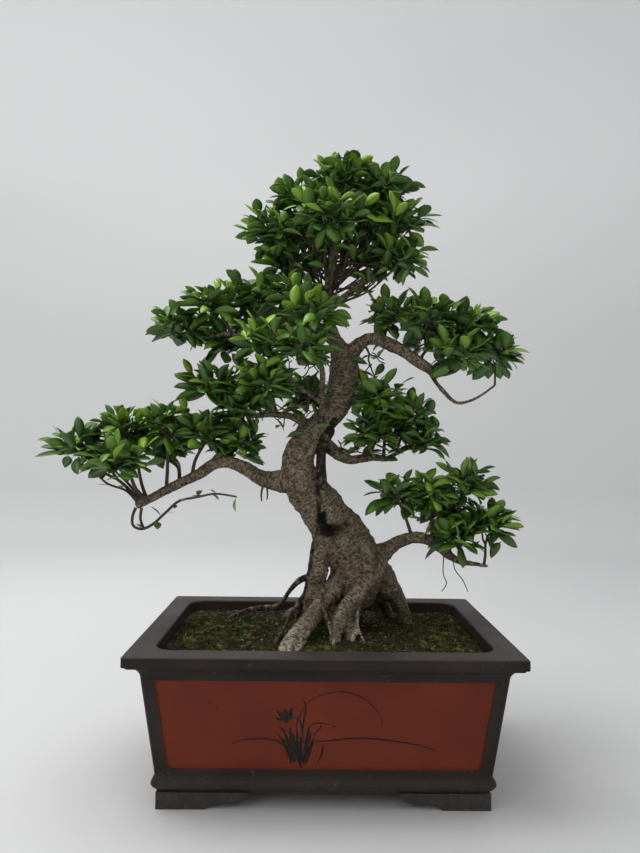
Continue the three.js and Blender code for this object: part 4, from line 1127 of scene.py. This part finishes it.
# Single leaves hold on where the light still reaches: on short twigs inside the crown, and along the
# runners that loop below the branches. They are the same leaves, set one by one or in threes.
bm = bmesh.new()
tint = bm.verts.layers.float.new("tint")
for points in runners:
    for knot in smooth_line(points, twig_spacing)[3:]:
        if chance.random() < 0.6:
            way = Vector(map(chance.uniform, (-1, -0.8, -0.5), (1, 0.8, 0.9))).normalized()
            length = chance.uniform(11, 26) * MM
            shape = chance.choice(leaf_shapes)
            shade = chance.uniform(0.1, 0.8)
            add_leaf(bm, tint, shape, pot_middle + knot.xyz, way, 0, length, shade)
for place in inner_places:
    way = Vector((chance.uniform(-1, 1), -0.4, 0.5)).normalized()
    whorl(bm, tint, place, way, 3, 0, inner_leaf)
single_leaves = new_object("single_leaves", bm)
single_leaves.data.shade_smooth()
single_leaves.data.materials.append(leaf_top)
single_leaves.data.materials.append(leaf_under)
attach(single_leaves, "root")


# The soil is dark brown and crumbly, heaped a little round the roots, and it fills the pot from the
# layer of coarse grit to just below the rim.
soil_rise, soil_level = 13 * MM, 183 * MM
heap_x, heap_y, heap_length, heap_depth = -20 * MM, -5 * MM, 150 * MM, 95 * MM
soil_low = Vector(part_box("soil")[0]) - pot_middle
wall_gap, foot_taper = 33.4 * MM, 16 * MM
soil_half = Vector((pot_length, pot_depth)) / 2 - Vector((wall_gap, wall_gap))


def soil_height(x, y):
    away = ((x - heap_x) / heap_length) ** 2 + ((y - heap_y) / heap_depth) ** 2
    return soil_level + soil_rise * math.exp(-away)


def crumbs(x, y):
    # How far the crumbly surface stands above or below that height
    place = Vector((x, y, 0))
    coarse = noise.noise(place / (17 * MM))
    fine = noise.noise(place / (5 * MM) + Vector((7, 3, 1)))
    return (2.4 * coarse + 2.6 * fine) * MM


def inside_pot(u, v):
    # Moves a point of a square onto the rounded rectangle inside the pot
    size = max(abs(u), abs(v), 1e-6)
    edge = Vector((u / size * soil_half.x, v / size * soil_half.y))
    turn_x, turn_y = soil_half.x - inner_corner, soil_half.y - inner_corner
    if abs(edge.x) > turn_x and abs(edge.y) > turn_y:
        middle = Vector((math.copysign(turn_x, u), math.copysign(turn_y, v)))
        edge = middle + (edge - middle).normalized() * inner_corner
    return edge * size


bm = bmesh.new()
bmesh.ops.create_grid(bm, x_segments=190, y_segments=120, size=1)
for vert in bm.verts:
    x, y = inside_pot(vert.co.x, vert.co.y)
    vert.co = (x, y, soil_height(x, y) + crumbs(x, y))
edge_loop = [edge for edge in bm.edges if edge.is_boundary]
grown = bmesh.ops.extrude_edge_only(bm, edges=edge_loop)
for vert in verts_in(grown["geom"]):
    vert.co.x *= 1 - foot_taper / soil_half.x
    vert.co.y *= 1 - foot_taper / soil_half.y
    vert.co.z = soil_low.z + MM
lower_loop = [item for item in grown["geom"] if isinstance(item, bmesh.types.BMEdge)]
bmesh.ops.contextual_create(bm, geom=lower_loop)
bmesh.ops.recalc_face_normals(bm, faces=bm.faces)
soil = new_object("soil_bed", bm)
soil.data.transform(Matrix.Translation(pot_middle))
soil.data.shade_smooth()

earth, tree, shader = new_material("dark_soil", Specular_IOR_Level=0.2, Roughness=0.95)
place = object_place(tree)
grains = speckle(tree, place, 330, detail=4, roughness=0.7)
damp = speckle(tree, place, 30, detail=5)
green = speckle(tree, place, 17, detail=8, roughness=0.7)
dark, middle, light = (0.012, 0.009, 0.006), (0.040, 0.028, 0.018), (0.11, 0.085, 0.055)
colour = ramp(tree, grains, (0.3, dark), (0.55, middle), (0.75, light))
colour = stain(tree, colour, damp, (0.35, 0), (0.65, 0.6), (0.016, 0.012, 0.009))
colour = stain(tree, colour, green, (0.44, 0), (0.56, 0.8), (0.034, 0.050, 0.010))
finish_surface(tree, shader, colour, grains, 1.6 * MM, 0.9)
soil.data.materials.append(earth)
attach(soil, "root")
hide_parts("soil")


# Litter lies on the soil: crumbs of earth, pale chips of grit, broken straw and bits of dry leaf.
# Each kind is listed with how many there are, its smallest and largest size in millimetres, how
# flat and how narrow it is, and its darkest and lightest colour.
litter_kinds = {
    "soil_crumb": (1500, 1.6, 5.0, 0.62, 0.9, (0.014, 0.010, 0.007), (0.075, 0.055, 0.036)),
    "pale_chip": (420, 1.4, 4.6, 0.62, 0.9, (0.16, 0.13, 0.09), (0.42, 0.37, 0.30)),
    "straw_bit": (420, 5, 15, 0.1, 0.15, (0.10, 0.075, 0.045), (0.30, 0.25, 0.17)),
    "dry_leaf_bit": (70, 4, 10, 0.25, 0.9, (0.10, 0.035, 0.014), (0.24, 0.10, 0.035)),
}


def litter(name, count, small, large, flat, narrow):
    # Small pieces that lie half sunk in the soil, each a jagged lump or a curled flake
    bm = bmesh.new()
    for number in range(count):
        x, y = inside_pot(chance.uniform(-0.97, 0.97), chance.uniform(-0.97, 0.97))
        size = chance.uniform(small, large) * MM
        turn = Matrix.Rotation(chance.uniform(0, 2 * math.pi), 4, "Z")
        tilt = Matrix.Rotation(chance.uniform(-0.35, 0.35), 4, "X")
        height = soil_height(x, y) + crumbs(x, y) + 0.25 * size * flat + 0.8 * MM
        shape = Matrix.Diagonal((size, size * narrow * chance.uniform(0.5, 1), size * flat, 1))
        place = Matrix.Translation(pot_middle + Vector((x, y, height)))
        lump = bmesh.ops.create_icosphere(
            bm, subdivisions=1, radius=0.5, matrix=place @ turn @ tilt @ shape
        )
        for vert in lump["verts"]:
            vert.co += Vector(chance.uniform(-0.16, 0.16) * size for axis in range(3)) * flat
    return new_object(name, bm)


for kind, (*sizes, dark, light) in litter_kinds.items():
    pieces = litter(kind + "s", *sizes)
    material, tree, shader = new_material(kind, Roughness=0.9, Specular_IOR_Level=0.2)
    place = object_place(tree)
    colour = ramp(tree, speckle(tree, place, 140, detail=5), (0.35, dark), (0.65, light))
    finish_surface(tree, shader, colour, speckle(tree, place, 700, detail=3), 0.5 * MM, 0.6)
    pieces.data.materials.append(material)
    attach(pieces, "root")


# Moss grows in low cushions on the damp soil: a mat of short stems, each a tuft of tiny pointed
# leaves, thickest behind the trunk on the left and along the right side.
def moss_shape(name, blades):
    # One moss stem a metre tall: pointed blades that lean out from its foot
    bm = bmesh.new()
    for number in range(blades):
        lean = Matrix.Rotation(chance.uniform(0.1, 0.8), 4, "X")
        turn = Matrix.Rotation(number * leaf_turn, 4, "Z")
        raised = Matrix.Translation((0, 0, 0.5))
        bmesh.ops.create_cone(
            bm, cap_ends=True, segments=3, radius1=0.17, radius2=0, depth=1,
            matrix=turn @ lean @ raised,
        )
    return new_mesh(name, bm)


moss_shapes = [moss_shape("moss_stem", blades) for blades in (5, 6, 7)]
stem_spacing, mat_reach = 1.9 * MM, 1.1
sparse_stems = 5200


def plant_moss(bm, x, y, size):
    foot = Matrix.Translation((x, y, soil_height(x, y) + crumbs(x, y)))
    turn = Matrix.Rotation(chance.uniform(0, 2 * math.pi), 4, "Z")
    add_copy(bm, chance.choice(moss_shapes), foot @ turn @ Matrix.Scale(size, 4))


def moss_mat(name):
    # A low uneven pad in the place of the CAD one, with stems all over it that thin out at its edge
    low, high = (Vector(corner) - pot_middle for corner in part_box(name))
    middle, half = (low + high) / 2, (high - low) / 2
    bm = bmesh.new()
    bmesh.ops.create_icosphere(bm, subdivisions=6, radius=1)
    for vert in bm.verts:
        x, y = middle.x + vert.co.x * half.x * 0.97, middle.y + vert.co.y * half.y * 0.97
        ripple = noise.noise(Vector((x, y, 0)) / (19 * MM))
        ripple += 0.6 * noise.noise(Vector((x, y, 9)) / (5 * MM))
        thick = (1.2 + 4.4 * ripple) * MM
        vert.co = (x, y, soil_height(x, y) + vert.co.z * thick)
    for number in range(round(half.x * half.y / stem_spacing ** 2)):
        reach = mat_reach * math.sqrt(chance.random())
        around = chance.uniform(0, 2 * math.pi)
        x = middle.x + half.x * reach * math.cos(around)
        y = middle.y + half.y * reach * math.sin(around)
        if noise.noise(Vector((x, y, 4)) / (20 * MM)) > reach - mat_reach:
            plant_moss(bm, x, y, chance.uniform(2.6, 5.6) * MM)
    mat = new_object(name + "_cushion", bm)
    mat.data.transform(Matrix.Translation(pot_middle))
    mat.data.materials.append(moss_green)
    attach(mat, "root")
    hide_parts(name)


moss_green, tree, shader = new_material("moss_green", Roughness=0.85, Specular_IOR_Level=0.25)
place = object_place(tree)
patch = speckle(tree, place, 75, detail=8, roughness=0.75)
stems = speckle(tree, place, 420, detail=3)
brown, green, yellow = (0.022, 0.018, 0.008), (0.052, 0.058, 0.012), (0.17, 0.152, 0.036)
colour = ramp(tree, patch, (0.36, brown), (0.5, green), (0.62, yellow))
colour = stain(tree, colour, stems, (0.55, 0), (0.75, 0.6), (0.018, 0.022, 0.008))
finish_surface(tree, shader, colour, stems, 0.8 * MM, 0.6)
for name in ("moss_left", "moss_front", "moss_right"):
    moss_mat(name)

bm = bmesh.new()
for number in range(sparse_stems):
    x, y = inside_pot(chance.uniform(-0.98, 0.98), chance.uniform(-0.98, 0.98))
    if noise.noise(Vector((x, y, 2)) / (26 * MM)) > chance.uniform(-0.5, 0.35):
        plant_moss(bm, x, y, chance.uniform(1.8, 4.4) * MM)
sparse_moss = new_object("sparse_moss", bm)
sparse_moss.data.transform(Matrix.Translation(pot_middle))
sparse_moss.data.materials.append(moss_green)
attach(sparse_moss, "root")


# A square of black plastic net covers each drain hole and keeps the grit in. It was cut from moulded
# net, and nothing holds it but the weight above it.
net_plastic, tree, shader = new_material("black_net_plastic", Roughness=0.5, Specular_IOR_Level=0.4)
wear = speckle(tree, object_place(tree), 300, detail=3)
colour = ramp(tree, wear, (0.4, (0.010, 0.011, 0.010)), (0.7, (0.035, 0.036, 0.033)))
finish_surface(tree, shader, colour, wear, 0.1 * MM, 0.4)
for name in ("drain_net_left", "drain_net_right"):
    low, high = (Vector(corner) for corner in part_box(name))
    bm = bmesh.new()
    half_width = (high.x - low.x) / 2 - 0.6 * MM
    bmesh.ops.create_grid(bm, x_segments=15, y_segments=15, size=half_width)
    bmesh.ops.translate(bm, verts=bm.verts, vec=(low + high) / 2)
    net = new_object(name + "_mesh", bm)
    strands = net.modifiers.new("strands", "WIREFRAME")
    strands.thickness = high.z - low.z
    strands.use_even_offset = False
    settle(net)
    net.data.materials.clear()
    net.data.materials.append(net_plastic)
    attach(net, "root")
    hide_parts(name)


# Coarse grit covers the pot's floor so that water drains off: washed stones of a few millimetres,
# brown to pale grey. The CAD solid has the right shape, so it only gets their look.
coarse_grit, tree, shader = new_material("coarse_grit", Roughness=0.9)
stones = add_node(tree, "TexVoronoi", {"Vector": object_place(tree), "Scale": 190})
tone = add_node(tree, "SeparateXYZ", {"Vector": stones.outputs["Color"]}).outputs["X"]
brown, middle, pale = (0.12, 0.10, 0.08), (0.30, 0.27, 0.23), (0.45, 0.42, 0.38)
colour = ramp(tree, tone, (0.1, brown), (0.6, middle), (0.9, pale))
finish_surface(tree, shader, colour, stones.outputs["Distance"], -3 * MM, 0.8)
grit = bpy.data.objects["drainage_grit"]
grit.data.materials.clear()
grit.data.materials.append(coarse_grit)
